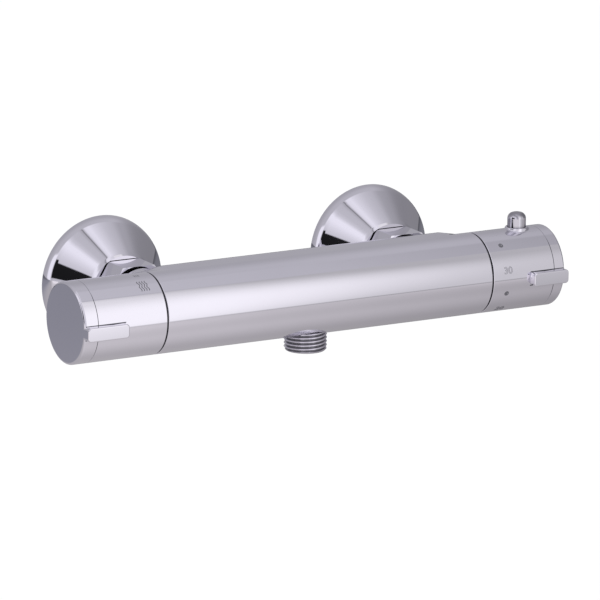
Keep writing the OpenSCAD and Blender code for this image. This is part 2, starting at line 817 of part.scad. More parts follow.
module wall_cover(side) {
    color("silver") at_inlet(side) turned_y(fine) difference() {
        cover_profile(0);
        difference() {
            cover_profile(cover_wall);
            translate([0, cover_front - cut]) square([cover_collar_r, cover_collar_len + cut]);
        }
        translate([0, cover_front - cut]) square([g34_r + 2 * run, cover_depth + 2 * cut]);
    }
}

// Check valves

guide_end = check_start + check_lip;
module check_housing(side) {
    inner = check_r - check_wall;
    hub = 2 * poppet_stem_r;
    color("whitesmoke") at_inlet(side) {
        difference() {
            rod_y(check_start, check_end, check_r);
            rod_y(check_start - cut, check_end - check_lip, inner);
            rod_y(check_start, check_end + cut, check_seat_r);
        }
        difference() {
            union() {
                rod_y(check_start, guide_end, hub, small);
                for (k = [0:2]) rotate([0, 120 * k, 0]) translate([0, check_start, -check_lip / 2])
                    cube([inner + bite, check_lip, check_lip]);
            }
            rod_y(check_start - cut, guide_end + cut, poppet_stem_r + run, small);
        }
    }
}

module check_poppet(side) {
    color("dimgray") at_inlet(side) {
        rod_y(poppet_front - poppet_t, poppet_front, poppet_r);
        rod_y(check_start - poppet_tail, poppet_front - poppet_t / 2, poppet_stem_r, small);
    }
}

check_spring_len = poppet_front - poppet_t - guide_end - 2 * run;
module check_spring(side) {
    color("gray") at_inlet(side) translate([0, guide_end + run, 0]) rotate([-90, 0, 0])
        coil(check_coil, check_wire, check_spring_len, check_turns);
}

// Flow control, drawn to the right and mirrored

module headwork() {
    skirt_r = chamber_r + skirt_wall;
    color("goldenrod") at_bar() on_left() difference() {
        union() {
            rod(fixed_start + play, head_thread + cut, skirt_r);
            rod(head_thread, head_hex, head_r - fit);
            rod(head_hex, head_neck, head_af / 2 / cos(30), 6);
            rod(head_neck - cut, head_end, head_neck_r);
        }
        difference() {
            rod(fixed_start - cut, chamber_end, chamber_r);
            // stop inside the chamber for the spindle's tab
            sector(driver_end + run, chamber_end + cut, stop_low, head_r,
                90 + free_half, 450 - free_half);
        }
        rod(chamber_end - cut, head_end + cut, screw_r + fit);
        seal_pocket(head_neck - head_hex_h / 2, screw_r);
        for (k = [0:3]) sector(window_start, window_end, disc_r, head_r,
            90 * k + (90 - skirt_window) / 2, 90 * k + (90 + skirt_window) / 2);
    }
}

module headwork_gasket() {
    color("dimgray") at_bar() on_left()
        pipe(body_left + spigot_len, head_hex, head_gasket_r, head_r + run);
}

module disc_seal() {
    color("dimgray") at_bar() on_left() pipe(head_x, fixed_start, disc_r - run, duct_r + run);
}

// two opposite openings in a ceramic disc, the first centred on an angle
module disc_ports(from, to, centre) {
    for (k = [0, 1]) sector(from - cut, to + cut, port_low, duct_r,
        centre + 180 * k - port_w / 2, centre + 180 * k + port_w / 2);
}

module fixed_disc() {
    end = fixed_start + fixed_disc_t;
    color("white") at_bar() on_left() difference() {
        rod(fixed_start, end, disc_r);
        disc_ports(fixed_start, end, 0);
    }
}

leg_low = disc_r - run - leg_t;
module moving_disc() {
    end = moving_start + moving_disc_t;
    color("white") at_bar() on_left() difference() {
        rod(moving_start, end, disc_r);
        disc_ports(moving_start, end, 90);
        for (side = [0, 180]) sector(leg_start - run, end + cut, leg_low - run, disc_r + cut,
            side - leg_w / 2 - 1, side + leg_w / 2 + 1);
    }
}

module flow_spindle() {
    spline_end = flow_web - spline_gap;
    color("goldenrod") at_bar() on_left() difference() {
        union() {
            for (side = [0, 180]) sector(leg_start, leg_end + cut, leg_low, disc_r - run,
                side - leg_w / 2, side + leg_w / 2);
            rod(leg_end, driver_end, disc_r - run);
            sector(driver_end - cut, tab_end, spindle_r, disc_r - 2 * run,
                90 + free_half - port_w + 1, 90 + free_half - 1);
            rod(driver_end - cut, head_end + play + 2 * clip_t, screw_r);
            rod(head_end + clip_t, spline_end, spline_r, 12);
        }
        clip_groove(head_end + play, screw_r);
        rod(spline_end - screw_grip - cut, spline_end + cut, handle_screw_r, small);
    }
}

module flow_spindle_oring() {
    color("dimgray") at_bar() on_left()
        cord_ring(head_neck - head_hex_h / 2, screw_r + oring_small + fit, oring_small);
}

// room for the sealing ring of a turning shaft, inside its housing
module seal_pocket(at, shaft_r) {
    half = oring_small + run;
    rod(at - half, at + half, shaft_r + 2 * (oring_small + fit));
}

// groove round a shaft for a retaining clip
module clip_groove(from, shaft_r) {
    pipe(from - fit, from + clip_t + fit, shaft_r + cut, shaft_r - clip_deep);
}

// retaining clip with an open side
module spindle_clip(from, shaft_r) {
    difference() {
        pipe(from, from + clip_t, shaft_r - clip_deep + clip_w, shaft_r - clip_deep + fit, small);
        translate([from - cut, -shaft_r / 2, 0]) cube([clip_t + 2 * cut, shaft_r, 2 * shaft_r]);
    }
}

module flow_spindle_clip() {
    color("gray") at_bar() on_left() spindle_clip(head_end + play, screw_r);
}

// adapter between a spindle and the web of a handle
module adapter(from, web) {
    difference() {
        union() {
            rod(from, web - run, adapter_r);
            rod(web - cut, web + web_t, hub_r, 12);
        }
        rod(from - cut, web - spline_gap + run, spline_r + fit, 12);
        rod(web - spline_gap - cut, web + web_t + cut, handle_screw_r + run, small);
    }
}

module flow_adapter() {
    color("whitesmoke") at_bar() on_left() adapter(head_end + play + 2 * clip_t, flow_web);
}

// sleeve of a handle with its web
module sleeve(from, to, web) {
    difference() {
        rod(from, to, bar_r, fine);
        rod(from - cut, web, sleeve_bore_r, fine);
        rod(web + web_t, to + cut, sleeve_bore_r, fine);
        rod(web - cut, web + web_t + cut, hub_r + fit, 12);
    }
}

// cap with its plug and its finger lug
module cap(joint, len, lug_len) {
    end = joint + len;
    plug_r = sleeve_bore_r - fit;
    hollow_r = plug_r - cap_skirt_wall;
    difference() {
        union() {
            turned(fine) difference() {
                union() {
                    translate([0, joint]) square([bar_r, len - edge_r]);
                    translate([0, joint]) square([bar_r - edge_r, len]);
                    translate([bar_r - edge_r, end - edge_r]) circle(r = edge_r, $fn = middle);
                    translate([0, joint - cap_skirt_len]) square([plug_r, cap_skirt_len]);
                }
                translate([0, joint - cap_skirt_len - cut])
                    square([hollow_r, len + cap_skirt_len + cut - cap_face]);
            }
            difference() {
                translate([end - lug_len / 2, 0, -lug_drop]) rotate([90, 0, 0])
                    linear_extrude(height = bar_r + lug_rise) round_rect(lug_len, lug_h, lug_r);
                // the lug only starts at the skin of the cap
                rod(joint, end + cut, bar_r - edge_r, fine);
                rod(end - lug_len - cut, joint, bar_r + fit, fine);
            }
        }
    }
}

// ring that fills the seam and carries the sleeve on its spigot
module glide_ring(from) {
    flange_end = from + seam_gap - run;
    pipe(from, flange_end, bar_r - glide_wall, spigot_r + fit, fine);
    pipe(flange_end - fit, from + spigot_len - play, sleeve_bore_r - run, spigot_r + fit, fine);
}

// screw that holds a handle on its spindle
module handle_screw(web) {
    head_start = web + web_t;
    head_end = head_start + screw_head_h;
    difference() {
        union() {
            rod(head_start, head_end, spindle_r);
            rod(web - spline_gap - screw_grip, head_start + fit, handle_screw_r - fit, small);
        }
        rod(head_end - screw_head_h / 1.5, head_end + cut, handle_screw_r, 6);
    }
}

module flow_handle() {
    color("silver") at_bar() on_left() sleeve(body_left + seam_gap, flow_joint, flow_web);
}
module flow_cap() {
    color("silver") at_bar() on_left() cap(flow_joint, flow_cap_len, flow_lug_len);
}
module flow_glide_ring() {
    color("dimgray") at_bar() on_left() glide_ring(body_left);
}
module flow_screw() {
    color("gray") at_bar() on_left() handle_screw(flow_web);
}

// Temperature cartridge

module cartridge_end() {
    color("whitesmoke") at_bar() difference() {
        union() {
            rod(cart_x - nose_len, cart_x + cut, nose_r - fit);
            rod(cart_x, house_start, cart_r - run);
            rod(house_start - cut, hot_seat, shuttle_bore_r - fit);
        }
        rod(cart_x - nose_len - cut, hot_seat + cut, nose_hole_r);
        rod(cart_x - spring_seat, hot_seat + cut, shuttle_bore_r - shuttle_wall - 2 * run);
        cord_groove(cart_x - nose_len / 2, nose_r, oring_small);
    }
}

// square groove for a sealing ring that seals outwards against a bore
module cord_groove(at, bore_r, cord) {
    pipe(at - cord - run, at + cord + run, bore_r + cut, bore_r - 2 * cord - run);
}

module cartridge_orings() {
    color("dimgray") at_bar() {
        cord_ring(cart_x - nose_len / 2, nose_r - oring_small - fit, oring_small);
        for (at = [mid_start + mid_land / 2, outer_start + outer_land / 2])
            cord_ring(at, cart_r - oring_big - fit, oring_big);
    }
}

module cartridge_housing() {
    land = cart_r - run;
    color("whitesmoke") at_bar() difference() {
        union() {
            rod(house_start, house_end, waist_r);
            rod(house_start, house_start + rim_land, land);
            rod(mid_start, cold_start, land);
            rod(outer_start, house_end, land);
            rod(house_end - cut, stop_start, neck_r);
            rod(stop_start - cut, neck_end, neck_r - run, 12);
        }
        rod(house_start - cut, cold_seat, shuttle_bore_r);
        rod(cold_seat - cut, wall_start, setting_bore_r);
        rod(wall_start - cut, neck_end + cut, spindle_r + fit);
        // keyways of the setting nut
        for (side = [0, 180]) rotate([side, 0, 0])
            translate([cold_seat - cut, -key_w / 2 - run, 0])
                cube([wall_start - cold_seat + cut, key_w + 2 * run, key_r + 2 * run]);
        // hot and cold windows beside their seats
        for (k = [0:3], at = [hot_seat, cold_seat - window_w - run])
            sector(at, at + window_w, setting_bore_r - cut, cart_r + cut,
                90 * k + 45 - window_turn / 2, 90 * k + 45 + window_turn / 2);
        for (at = [mid_start + mid_land / 2, outer_start + outer_land / 2])
            cord_groove(at, cart_r, oring_big);
        // pocket of the spindle's sealing ring
        seal_pocket(house_end + seal_at, spindle_r);
    }
}

module setting_nut() {
    color("khaki") at_bar() difference() {
        union() {
            rod(nut_front, nut_back, setting_bore_r - run);
            for (side = [0, 180]) rotate([side, 0, 0]) translate([nut_front, -key_w / 2, 0])
                cube([setting_len, key_w, key_r]);
        }
        rod(nut_front - cut, cup_bore_end, cup_bore_r);
        rod(cup_bore_end - cut, nut_back + cut, screw_r + fit);
        rod(clip_seat - fit, clip_seat + clip_t + fit, cup_bore_r + clip_t);
    }
}

module overload_clip() {
    color("gray") at_bar() difference() {
        pipe(clip_seat, clip_seat + clip_t, cup_bore_r + clip_t - run, screw_r);
        translate([clip_seat - cut, -cut, 0]) cube([clip_t + 2 * cut, 2 * cut, 2 * cup_bore_r]);
    }
}

module overload_cup() {
    color("whitesmoke") at_bar() {
        rod(cup_flange, cup_flange + cup_flange_t, cup_bore_r - run);
        rod(piston_end + run, cup_flange + fit, cup_nose_r);
    }
}

overload_len = cup_bore_end - cup_flange - cup_flange_t - 2 * run;
module overload_spring() {
    color("gray") at_bar() translate([cup_flange + cup_flange_t + run, 0, 0])
        rotate([0, 90, 0]) coil(overload_coil, overload_wire, overload_len, overload_turns);
}

module wax_element() {
    color("peru") at_bar() difference() {
        union() {
            rod(wax_start, web_end + fit, wax_r);
            rod(web_end, wax_flange_end, wax_flange_r);
            rod(wax_flange_end - fit, wax_guide_end, wax_guide_r);
        }
        rod(wax_guide_end - piston_in - cut, wax_guide_end + cut, piston_r + fit, small);
    }
}

module wax_piston() {
    color("gray") at_bar() rod(wax_guide_end - piston_in, piston_end, piston_r, small);
}

module shuttle() {
    outer = shuttle_bore_r - run;
    inner = outer - shuttle_wall;
    color("whitesmoke") at_bar() difference() {
        rod(shuttle_start, shuttle_end, outer);
        rod(shuttle_start - cut, web_start, inner);
        rod(web_end, shuttle_end + cut, inner);
        rod(web_start - cut, web_end + cut, wax_r + fit);
        for (k = [0:3]) sector(web_start - cut, web_end + cut, wax_flange_r + bite, inner - play,
            90 * k - 32, 90 * k + 32);
        cord_groove((web_start + web_end) / 2, shuttle_bore_r, oring_small / 2 + run);
    }
}

module shuttle_seal() {
    cord = oring_small / 2 + run;
    color("dimgray") at_bar()
        cord_ring((web_start + web_end) / 2, shuttle_bore_r - cord - fit, cord);
}

return_len = web_start - cart_x + spring_seat - 2 * run;
module return_spring() {
    color("gray") at_bar() translate([cart_x - spring_seat + run, 0, 0])
        rotate([0, 90, 0]) coil(return_coil, return_wire, return_len, return_turns);
}

module setting_spindle() {
    color("goldenrod") at_bar() difference() {
        union() {
            rod(screw_start, thrust_start + fit, screw_r);
            rod(thrust_start, thrust_end, thrust_r);
            rod(thrust_end - fit, neck_end + play + 2 * clip_t, spindle_r);
            rod(neck_end + clip_t, spindle_end, spline_r, 12);
        }
        clip_groove(neck_end + play, spindle_r);
        rod(spindle_end - screw_grip - cut, spindle_end + cut, handle_screw_r, small);
    }
}

module setting_spindle_oring() {
    color("dimgray") at_bar()
        cord_ring(house_end + seal_at, spindle_r + oring_small + fit, oring_small);
}

module setting_spindle_clip() {
    color("gray") at_bar() spindle_clip(neck_end + play, spindle_r);
}

module cartridge_nut() {
    color("goldenrod") at_bar() difference() {
        union() {
            rod(house_end, hex_start, cart_r - fit);
            rod(hex_start - fit, hex_start + cart_nut_h, cart_nut_af / 2 / cos(30), 6);
        }
        rod(house_end - cut, hex_start + cart_nut_h + cut, neck_r + run);
    }
}

module stop_ring() {
    color("whitesmoke") at_bar() {
        difference() {
            union() {
                rod(stop_start, crown_end, stop_r);
                rod(crown_end - crown_len, crown_end, tooth_r);
            }
            rod(stop_start - cut, neck_end, neck_r - run + fit, 12);
            rod(neck_end - fit, crown_end + cut, neck_r + run);
        }
        // short tooth for the safety stop, long teeth for the hot and the cold end
        sector(crown_end - fit, safe_tooth_end, stop_r, tooth_r, safe_edge - tooth_w, safe_edge);
        sector(crown_end - fit, end_tooth_end, stop_r, tooth_r, hot_edge - tooth_w, hot_edge);
        sector(crown_end - fit, end_tooth_end, stop_r, tooth_r, cold_edge, cold_edge + tooth_w);
    }
}

module temp_adapter() {
    color("whitesmoke") at_bar() adapter(neck_end + play + 2 * clip_t, temp_web);
}

module temp_handle() {
    bore = button_r + 2 * run;
    color("silver") at_bar() difference() {
        union() {
            sleeve(body_right + seam_gap, temp_joint, temp_web);
            translate([button_x, 0, guide_low])
                cylinder(r = guide_r, h = sleeve_bore_r + bite - guide_low, $fn = middle);
            translate([button_x, 0, sleeve_bore_r])
                cylinder(r = collar_r, h = sleeve_wall + collar_rise, $fn = middle);
        }
        translate([button_x, 0, guide_low + guide_floor])
            cylinder(r = bore, h = bar_r, $fn = middle);
        translate([button_x, 0, 0]) cylinder(r = stem_r + run, h = bar_r, $fn = small);
    }
}

module temp_cap() {
    color("silver") at_bar() cap(temp_joint, temp_cap_len, temp_lug_len);
}
module temp_glide_ring() {
    color("dimgray") at_bar() glide_ring(body_right);
}
module temp_screw() {
    color("gray") at_bar() handle_screw(temp_web);
}

// Safety button, along Z at its station

skirt_low = guide_low + guide_floor + button_travel + run;
hollow_top = skirt_low + button_hollow;
button_top = bar_r + button_rise;
module safety_button() {
    dome_r = (button_r * button_r + button_dome * button_dome) / (2 * button_dome);
    color("silver") at_bar() translate([button_x, 0, 0]) rotate_extrude($fn = middle)
        difference() {
            intersection() {
                translate([0, skirt_low]) square([button_r, button_top - skirt_low]);
                translate([0, button_top - dome_r]) circle(r = dome_r, $fn = 4 * fine);
            }
            translate([0, skirt_low - cut]) square([button_r - button_wall, button_hollow + cut]);
            square([stem_r + fit, hollow_top + stem_grip]);
        }
}

module button_stem() {
    notch_low = stem_low + stem_foot;
    tab_top = guide_low - run;
    color("gray") at_bar() translate([button_x, 0, 0]) {
        difference() {
            translate([0, 0, stem_low])
                cylinder(r = stem_r, h = hollow_top + stem_grip - stem_low, $fn = middle);
            translate([-stem_r - cut, -stem_r - cut, notch_low])
                cube([stem_r + cut, 2 * (stem_r + cut), stem_notch]);
        }
        translate([0, -stem_r / 1.3, tab_top - stem_tab_t])
            cube([stem_tab, 2 * stem_r / 1.3, stem_tab_t]);
    }
}

button_spring_low = guide_low + guide_floor + run;
button_spring_len = hollow_top - button_spring_low - run;
module button_spring() {
    r = (stem_r + button_r - button_wall) / 2;
    color("gray") at_bar() translate([button_x, 0, button_spring_low])
        coil(r, button_wire, button_spring_len, button_turns);
}

module hot_inlet_tail() { inlet_tail(-1); }
module cold_inlet_tail() { inlet_tail(1); }
module hot_union_nut() { union_nut(-1); }
module cold_union_nut() { union_nut(1); }
module hot_filter_washer() { filter_washer(-1); }
module cold_filter_washer() { filter_washer(1); }
module hot_filter_screen() { filter_screen(-1); }
module cold_filter_screen() { filter_screen(1); }
module hot_s_union() { s_union(-1); }
module cold_s_union() { s_union(1); }
module hot_wall_cover() { wall_cover(-1); }
module cold_wall_cover() { wall_cover(1); }
module hot_check_housing() { check_housing(-1); }
module cold_check_housing() { check_housing(1); }
module hot_check_poppet() { check_poppet(-1); }
module cold_check_poppet() { check_poppet(1); }
module hot_check_spring() { check_spring(-1); }
module cold_check_spring() { check_spring(1); }

valve_body();
outlet_nipple();
outlet_gasket();
hot_inlet_tail();
cold_inlet_tail();
hot_union_nut();
cold_union_nut();
hot_filter_washer();
cold_filter_washer();
hot_filter_screen();
cold_filter_screen();
hot_s_union();
cold_s_union();
hot_wall_cover();
cold_wall_cover();
hot_check_housing();
cold_check_housing();
hot_check_poppet();
cold_check_poppet();
hot_check_spring();
cold_check_spring();
headwork();
headwork_gasket();
disc_seal();
fixed_disc();
moving_disc();
flow_spindle();
flow_spindle_oring();
flow_spindle_clip();
flow_adapter();
flow_glide_ring();
flow_handle();
flow_cap();
flow_screw();
cartridge_end();
cartridge_housing();
cartridge_orings();
cartridge_nut();
return_spring();
shuttle();
shuttle_seal();
wax_element();
wax_piston();
setting_nut();
overload_cup();
overload_spring();
overload_clip();
setting_spindle();
setting_spindle_oring();
setting_spindle_clip();
stop_ring();
temp_adapter();
temp_glide_ring();
temp_handle();
temp_cap();
temp_screw();
safety_button();
button_stem();
button_spring();
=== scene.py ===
import json
import math

import bmesh
import bpy
from mathutils import Matrix, Vector


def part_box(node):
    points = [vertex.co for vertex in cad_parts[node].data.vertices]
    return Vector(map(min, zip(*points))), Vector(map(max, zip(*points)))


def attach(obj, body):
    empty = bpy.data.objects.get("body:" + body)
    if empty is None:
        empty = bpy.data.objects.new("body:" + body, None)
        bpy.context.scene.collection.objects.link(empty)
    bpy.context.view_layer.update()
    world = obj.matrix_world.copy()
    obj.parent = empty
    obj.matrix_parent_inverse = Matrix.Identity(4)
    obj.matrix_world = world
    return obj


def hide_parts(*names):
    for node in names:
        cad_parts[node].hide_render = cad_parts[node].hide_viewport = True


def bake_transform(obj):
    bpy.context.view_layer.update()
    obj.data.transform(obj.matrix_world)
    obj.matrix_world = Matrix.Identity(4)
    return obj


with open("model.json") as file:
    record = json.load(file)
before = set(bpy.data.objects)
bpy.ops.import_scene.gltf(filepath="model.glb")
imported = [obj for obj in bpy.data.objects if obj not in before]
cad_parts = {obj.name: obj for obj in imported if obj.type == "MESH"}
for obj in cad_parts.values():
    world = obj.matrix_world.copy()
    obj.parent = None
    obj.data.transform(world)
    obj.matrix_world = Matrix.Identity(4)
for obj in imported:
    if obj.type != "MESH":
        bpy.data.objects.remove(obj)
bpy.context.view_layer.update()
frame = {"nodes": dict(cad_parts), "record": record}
nodes = frame["nodes"]
mm = 0.001
mergeWithin = 0.0005 * mm
flatWithin = 0.3  # degrees
noiseRoughness = 0.55
axisY = -70.6 * mm  # the bar's axis runs along X at this depth and at height 0
inletHalf = 75  # each inlet stands this far from the middle
print("frame loaded:", len(nodes), "nodes")


# A wire is one output socket; sums and products of wires add their Math nodes.
class Wire:
    def __init__(self, tree, socket=None):
        self.tree, self.socket = tree, socket

    def node(self, kind, settings, values, output=0):
        made = self.tree.nodes.new("ShaderNode" + kind)
        for name, value in settings.items():
            if name == "stops":
                ramp = made.color_ramp
                while len(ramp.elements) < len(value):
                    ramp.elements.new(0.5)
                for element, (place, tone) in zip(ramp.elements, value):
                    element.position, element.color = place, (*tone, 1)
            else:
                setattr(made, name, value)
        for name, value in values.items():
            if isinstance(value, Wire):
                self.tree.links.new(value.socket, made.inputs[name])
            else:
                made.inputs[name].default_value = value
        return Wire(self.tree, made.outputs[output])

    def maths(self, operation, *values):
        return self.node("Math", {"operation": operation}, dict(enumerate(values)))

    def __add__(self, other):
        return self.maths("ADD", self, other)

    def __radd__(self, other):
        return self.maths("ADD", other, self)

    def __sub__(self, other):
        return self.maths("SUBTRACT", self, other)

    def __rsub__(self, other):
        return self.maths("SUBTRACT", other, self)

    def __mul__(self, other):
        return self.maths("MULTIPLY", self, other)

    def __rmul__(self, other):
        return self.maths("MULTIPLY", other, self)

    def size(self):
        return self.maths("ABSOLUTE", self)

    def root(self):
        return self.maths("SQRT", self)

    def rise(self, low, high, start=0.0, end=1.0):
        return self.node("MapRange", {"interpolation_type": "SMOOTHSTEP"},
                         {"Value": self, "From Min": low, "From Max": high,
                          "To Min": start, "To Max": end})

    def riseInMm(self, low, high, start=0.0, end=1.0):
        return self.rise(low * mm, high * mm, start, end)

    def tone(self, first, second):  # each end is a colour or a wire
        ends = [end if isinstance(end, Wire) else (*end, 1) for end in (first, second)]
        return self.node("Mix", {"data_type": "RGBA"},
                         {"Factor": self, 6: ends[0], 7: ends[1]}, 2)

    def noise(self, scale, detail, stretch=(1, 1, 1)):
        place = self.node("TexCoord", {}, {}, "Object")
        if stretch != (1, 1, 1):
            place = self.node("Mapping", {}, {"Vector": place, "Scale": stretch})
        return self.node("TexNoise", {}, {"Vector": place, "Scale": scale, "Detail": detail,
                                          "Roughness": noiseRoughness}, "Fac")

    def place(self, kind="Object"):
        vector = self.node("TexCoord", {}, {}, kind)
        split = self.node("SeparateXYZ", {}, {"Vector": vector})
        return [Wire(self.tree, output) for output in split.socket.node.outputs]


def newFinish(name, metallic):
    material = bpy.data.materials.new(name)
    material.use_nodes = True
    shader = material.node_tree.nodes["Principled BSDF"]
    shader.inputs["Metallic"].default_value = metallic
    return material, Wire(material.node_tree), shader


def into(shader, socket, wire):
    wire.tree.links.new(wire.socket, shader.inputs[socket])


def bumped(height, depth):
    return height.node("Bump", {}, {"Height": height, "Distance": depth * mm, "Strength": 1.0})


# Noises are given by their scale, their detail and, where they run in lines, their stretch.
chromePlate = {"light": (0.80, 0.785, 0.845), "dark": (0.76, 0.745, 0.805),
               "shade": (0.10, 0.10, 0.115), "cloud": (22, 3), "roughness": 0.035,
               "haze": 0.05, "smear": (0.45, 0.75), "fine": (900, 2), "wave": (60, 1),
               "waveDepth": 0.004}


def makeChrome(name, paintedShade=None):
    material, start, shader = newFinish(name, 1.0)
    cloud = start.noise(*chromePlate["cloud"])  # faint haze left by wiping
    plate = cloud.tone(chromePlate["dark"], chromePlate["light"])
    # A mask of painted shade, where given, darkens the plate towards the shade colour.
    if paintedShade:
        plate = paintedShade(start).tone(plate, chromePlate["shade"])
    into(shader, "Base Color", plate)
    haze = chromePlate["haze"] * cloud.rise(*chromePlate["smear"])
    into(shader, "Roughness",
         chromePlate["roughness"] + haze * start.noise(*chromePlate["fine"]))
    wave = start.noise(*chromePlate["wave"])
    into(shader, "Normal", bumped(wave, chromePlate["waveDepth"]))
    return material


def makePlain(name, metallic, dark, light, cloud, grain, roughness, spread, bump, specular=0.5):
    material, start, shader = newFinish(name, metallic)
    shader.inputs["Specular IOR Level"].default_value = specular
    fine = start.noise(*grain)
    into(shader, "Base Color", start.noise(*cloud).tone(dark, light))
    into(shader, "Roughness", roughness + spread * fine)
    into(shader, "Normal", bumped(fine, bump))
    return material


# Turning marks run round the bar's axis.
turned = {"metallic": 1.0, "cloud": (70, 4), "grain": (300, 2, (40, 1, 1)), "roughness": 0.22,
          "spread": 0.2, "bump": 0.006}
moulded = {"metallic": 0.0, "cloud": (60, 3), "grain": (1500, 3), "spread": 0.12,
           "specular": 0.45}
plainFinishes = {
    "brass": {**turned, "name": "turnedBrass", "dark": (0.62, 0.46, 0.20),
              "light": (0.80, 0.62, 0.30)},
    "copper": {**turned, "name": "copperShell", "dark": (0.62, 0.33, 0.22),
               "light": (0.80, 0.48, 0.33)},
    "steel": {"name": "springSteel", "metallic": 1.0, "dark": (0.50, 0.50, 0.53),
              "light": (0.66, 0.66, 0.68), "cloud": (90, 3), "grain": (1200, 2),
              "roughness": 0.2, "spread": 0.18, "bump": 0.004},
    "ceramic": {"name": "groundCeramic", "metallic": 0.0, "dark": (0.86, 0.86, 0.82),
                "light": (0.95, 0.95, 0.92), "cloud": (120, 4), "grain": (2200, 2),
                "roughness": 0.16, "spread": 0.1, "bump": 0.002},
    "polymer": {**moulded, "name": "mouldedAcetal", "dark": (0.80, 0.80, 0.76),
                "light": (0.88, 0.88, 0.84), "roughness": 0.36, "bump": 0.006},
    "glide": {**moulded, "name": "darkAcetal", "dark": (0.014, 0.014, 0.017),
              "light": (0.024, 0.024, 0.028), "roughness": 0.39, "bump": 0.006},
    "seal": {**moulded, "name": "sealRubber", "dark": (0.018, 0.018, 0.018),
             "light": (0.032, 0.032, 0.032), "roughness": 0.64, "bump": 0.01},
}
finishes = {"chrome": makeChrome("chromePlate")}
for slot, values in plainFinishes.items():
    finishes[slot] = makePlain(**values)
slotOf = {row["node"]: row["material_slot"] for row in frame["record"]["subparts"]}
for name, node in nodes.items():
    for slot in node.material_slots:
        slot.material = finishes[slotOf[name]]
print("finishes made:", ", ".join(finishes))

# Stations run along the bar, in millimetres from its middle.
barEnds = {"left": -86.2, "right": 93.7, "flowSeam": -87.0, "tempSeam": 94.5,
           "flowJoint": -124.1, "tempJoint": 129.0, "flowEnd": -131.6, "tempEnd": 135.1,
           "radius": 20.0, "endRound": 1.25, "lugFace": -23.8}
roundShading = {"within": 0.03, "past": 0.01, "barAngle": 4, "endAngle": 25}


# Copies of CAD nodes get softened edges; their places are given in the bar's own frame.
def copyOf(nodeName):
    bm = bmesh.new()
    bm.from_mesh(nodes[nodeName].data)
    bmesh.ops.remove_doubles(bm, verts=bm.verts[:], dist=mergeWithin)
    bmesh.ops.dissolve_limit(bm, angle_limit=math.radians(flatWithin), verts=bm.verts[:],
                             edges=bm.edges[:])
    return bm


def barPlace(vert):
    return vert.co.x / mm, (vert.co.y - axisY) / mm, vert.co.z / mm


def soften(bm, soft, chosen):
    sharp = [e for e in bm.edges if len(e.link_faces) == 2
             and e.calc_face_angle(0) > math.radians(soft["over"])
             and all(chosen(*barPlace(v)) for v in e.verts)]
    bmesh.ops.bevel(bm, geom=sharp, offset=soft["width"] * mm, offset_type="OFFSET",
                    segments=soft["segments"], profile=0.5, affect="EDGES", material=-1,
                    clamp_overlap=False)


# The true normal of the bar's cylinder or of an end's round, and how near a face has to lie.
def trueNormal(x, y, z):
    reach = math.hypot(y, z)
    radius, edge = barEnds["radius"], barEnds["endRound"]
    within, past = roundShading["within"], roundShading["past"]
    for end, side in ((barEnds["flowEnd"], -1), (barEnds["tempEnd"], 1)):
        along, out = side * (x - end) + edge, reach - radius + edge
        if along > past and out > past and abs(math.hypot(along, out) - edge) < within:
            outward = Vector((side * along, out * y / reach, out * z / reach)).normalized()
            return outward, roundShading["endAngle"]
    if abs(reach - radius) < within:
        return Vector((0, y / reach, z / reach)), roundShading["barAngle"]
    return None, 0


def roundNormals(mesh):  # rounds mirror as true rounds, not as their facets
    normals = [Vector(corner.vector) for corner in mesh.corner_normals]
    for face in mesh.polygons:
        for i in face.loop_indices:
            outward, nearly = trueNormal(*barPlace(mesh.vertices[mesh.loops[i].vertex_index]))
            if outward and face.normal.angle(outward, math.pi) < math.radians(nearly):
                normals[i] = outward
    mesh.normals_split_custom_set(normals)


# The body is one name, to which the piece is attached, or two names with the places where each
# of them holds the piece; these are not used, and such a piece is only baked in place.
def finished(name, bm, slot, body, *replaced, smoothTo=32):
    mesh = bpy.data.meshes.new(name)
    bm.to_mesh(mesh)
    bm.free()
    mesh.shade_smooth()
    mesh.set_sharp_from_angle(angle=math.radians(smoothTo))
    made = bpy.data.objects.new(name, mesh)
    bpy.context.scene.collection.objects.link(made)
    weighted = made.modifiers.new("weighted", "WEIGHTED_NORMAL")
    weighted.keep_sharp = True
    depsgraph = bpy.context.evaluated_depsgraph_get()
    made.data = bpy.data.meshes.new_from_object(made.evaluated_get(depsgraph))
    made.data.name = name
    made.modifiers.clear()
    roundNormals(made.data)
    made.data.materials.clear()
    made.data.materials.append(finishes[slot])
    if isinstance(body, str):
        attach(made, body)
    else:
        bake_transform(made)
    if replaced:
        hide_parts(*replaced)


def softCopy(name, node, slot, body, *edges, smoothTo=32):
    bm = copyOf(node)
    for soft, chosen in edges:
        soften(bm, soft, chosen)
    finished(name, bm, slot, body, node, smoothTo=smoothTo)


# Each softening takes edges that bend by more degrees than "over".
seamSoft = {"width": 0.28, "segments": 3, "over": 40}
jointSoft = {"width": 0.14, "segments": 2, "over": 40}
lugSoft = {"width": 0.55, "segments": 4, "over": 40}
collar = {"at": 119.0, "radius": 5.7, "top": 20.9}
rimSoft = {"width": 0.5, "segments": 4, "over": 30}
footSoft = {"width": 0.7, "segments": 4, "over": 20}
near = {"ring": 0.002, "face": 0.01, "station": 0.02, "collar": 0.03, "skin": 0.05,
        "belowTop": 0.2}


def edgeAt(soft, place):
    def chosen(x, y, z):
        onSkin = abs(math.hypot(y, z) - barEnds["radius"]) < near["skin"]
        return onSkin and abs(x - barEnds[place]) < near["station"]
    return soft, chosen


def onLugFace(x, y, z):
    return abs(y - barEnds["lugFace"]) < near["face"]


def onCollarRim(x, y, z):
    around = math.hypot(x - collar["at"], y)
    onSide = abs(around - collar["radius"]) < near["collar"]
    return onSide and abs(z - collar["top"]) < near["face"]


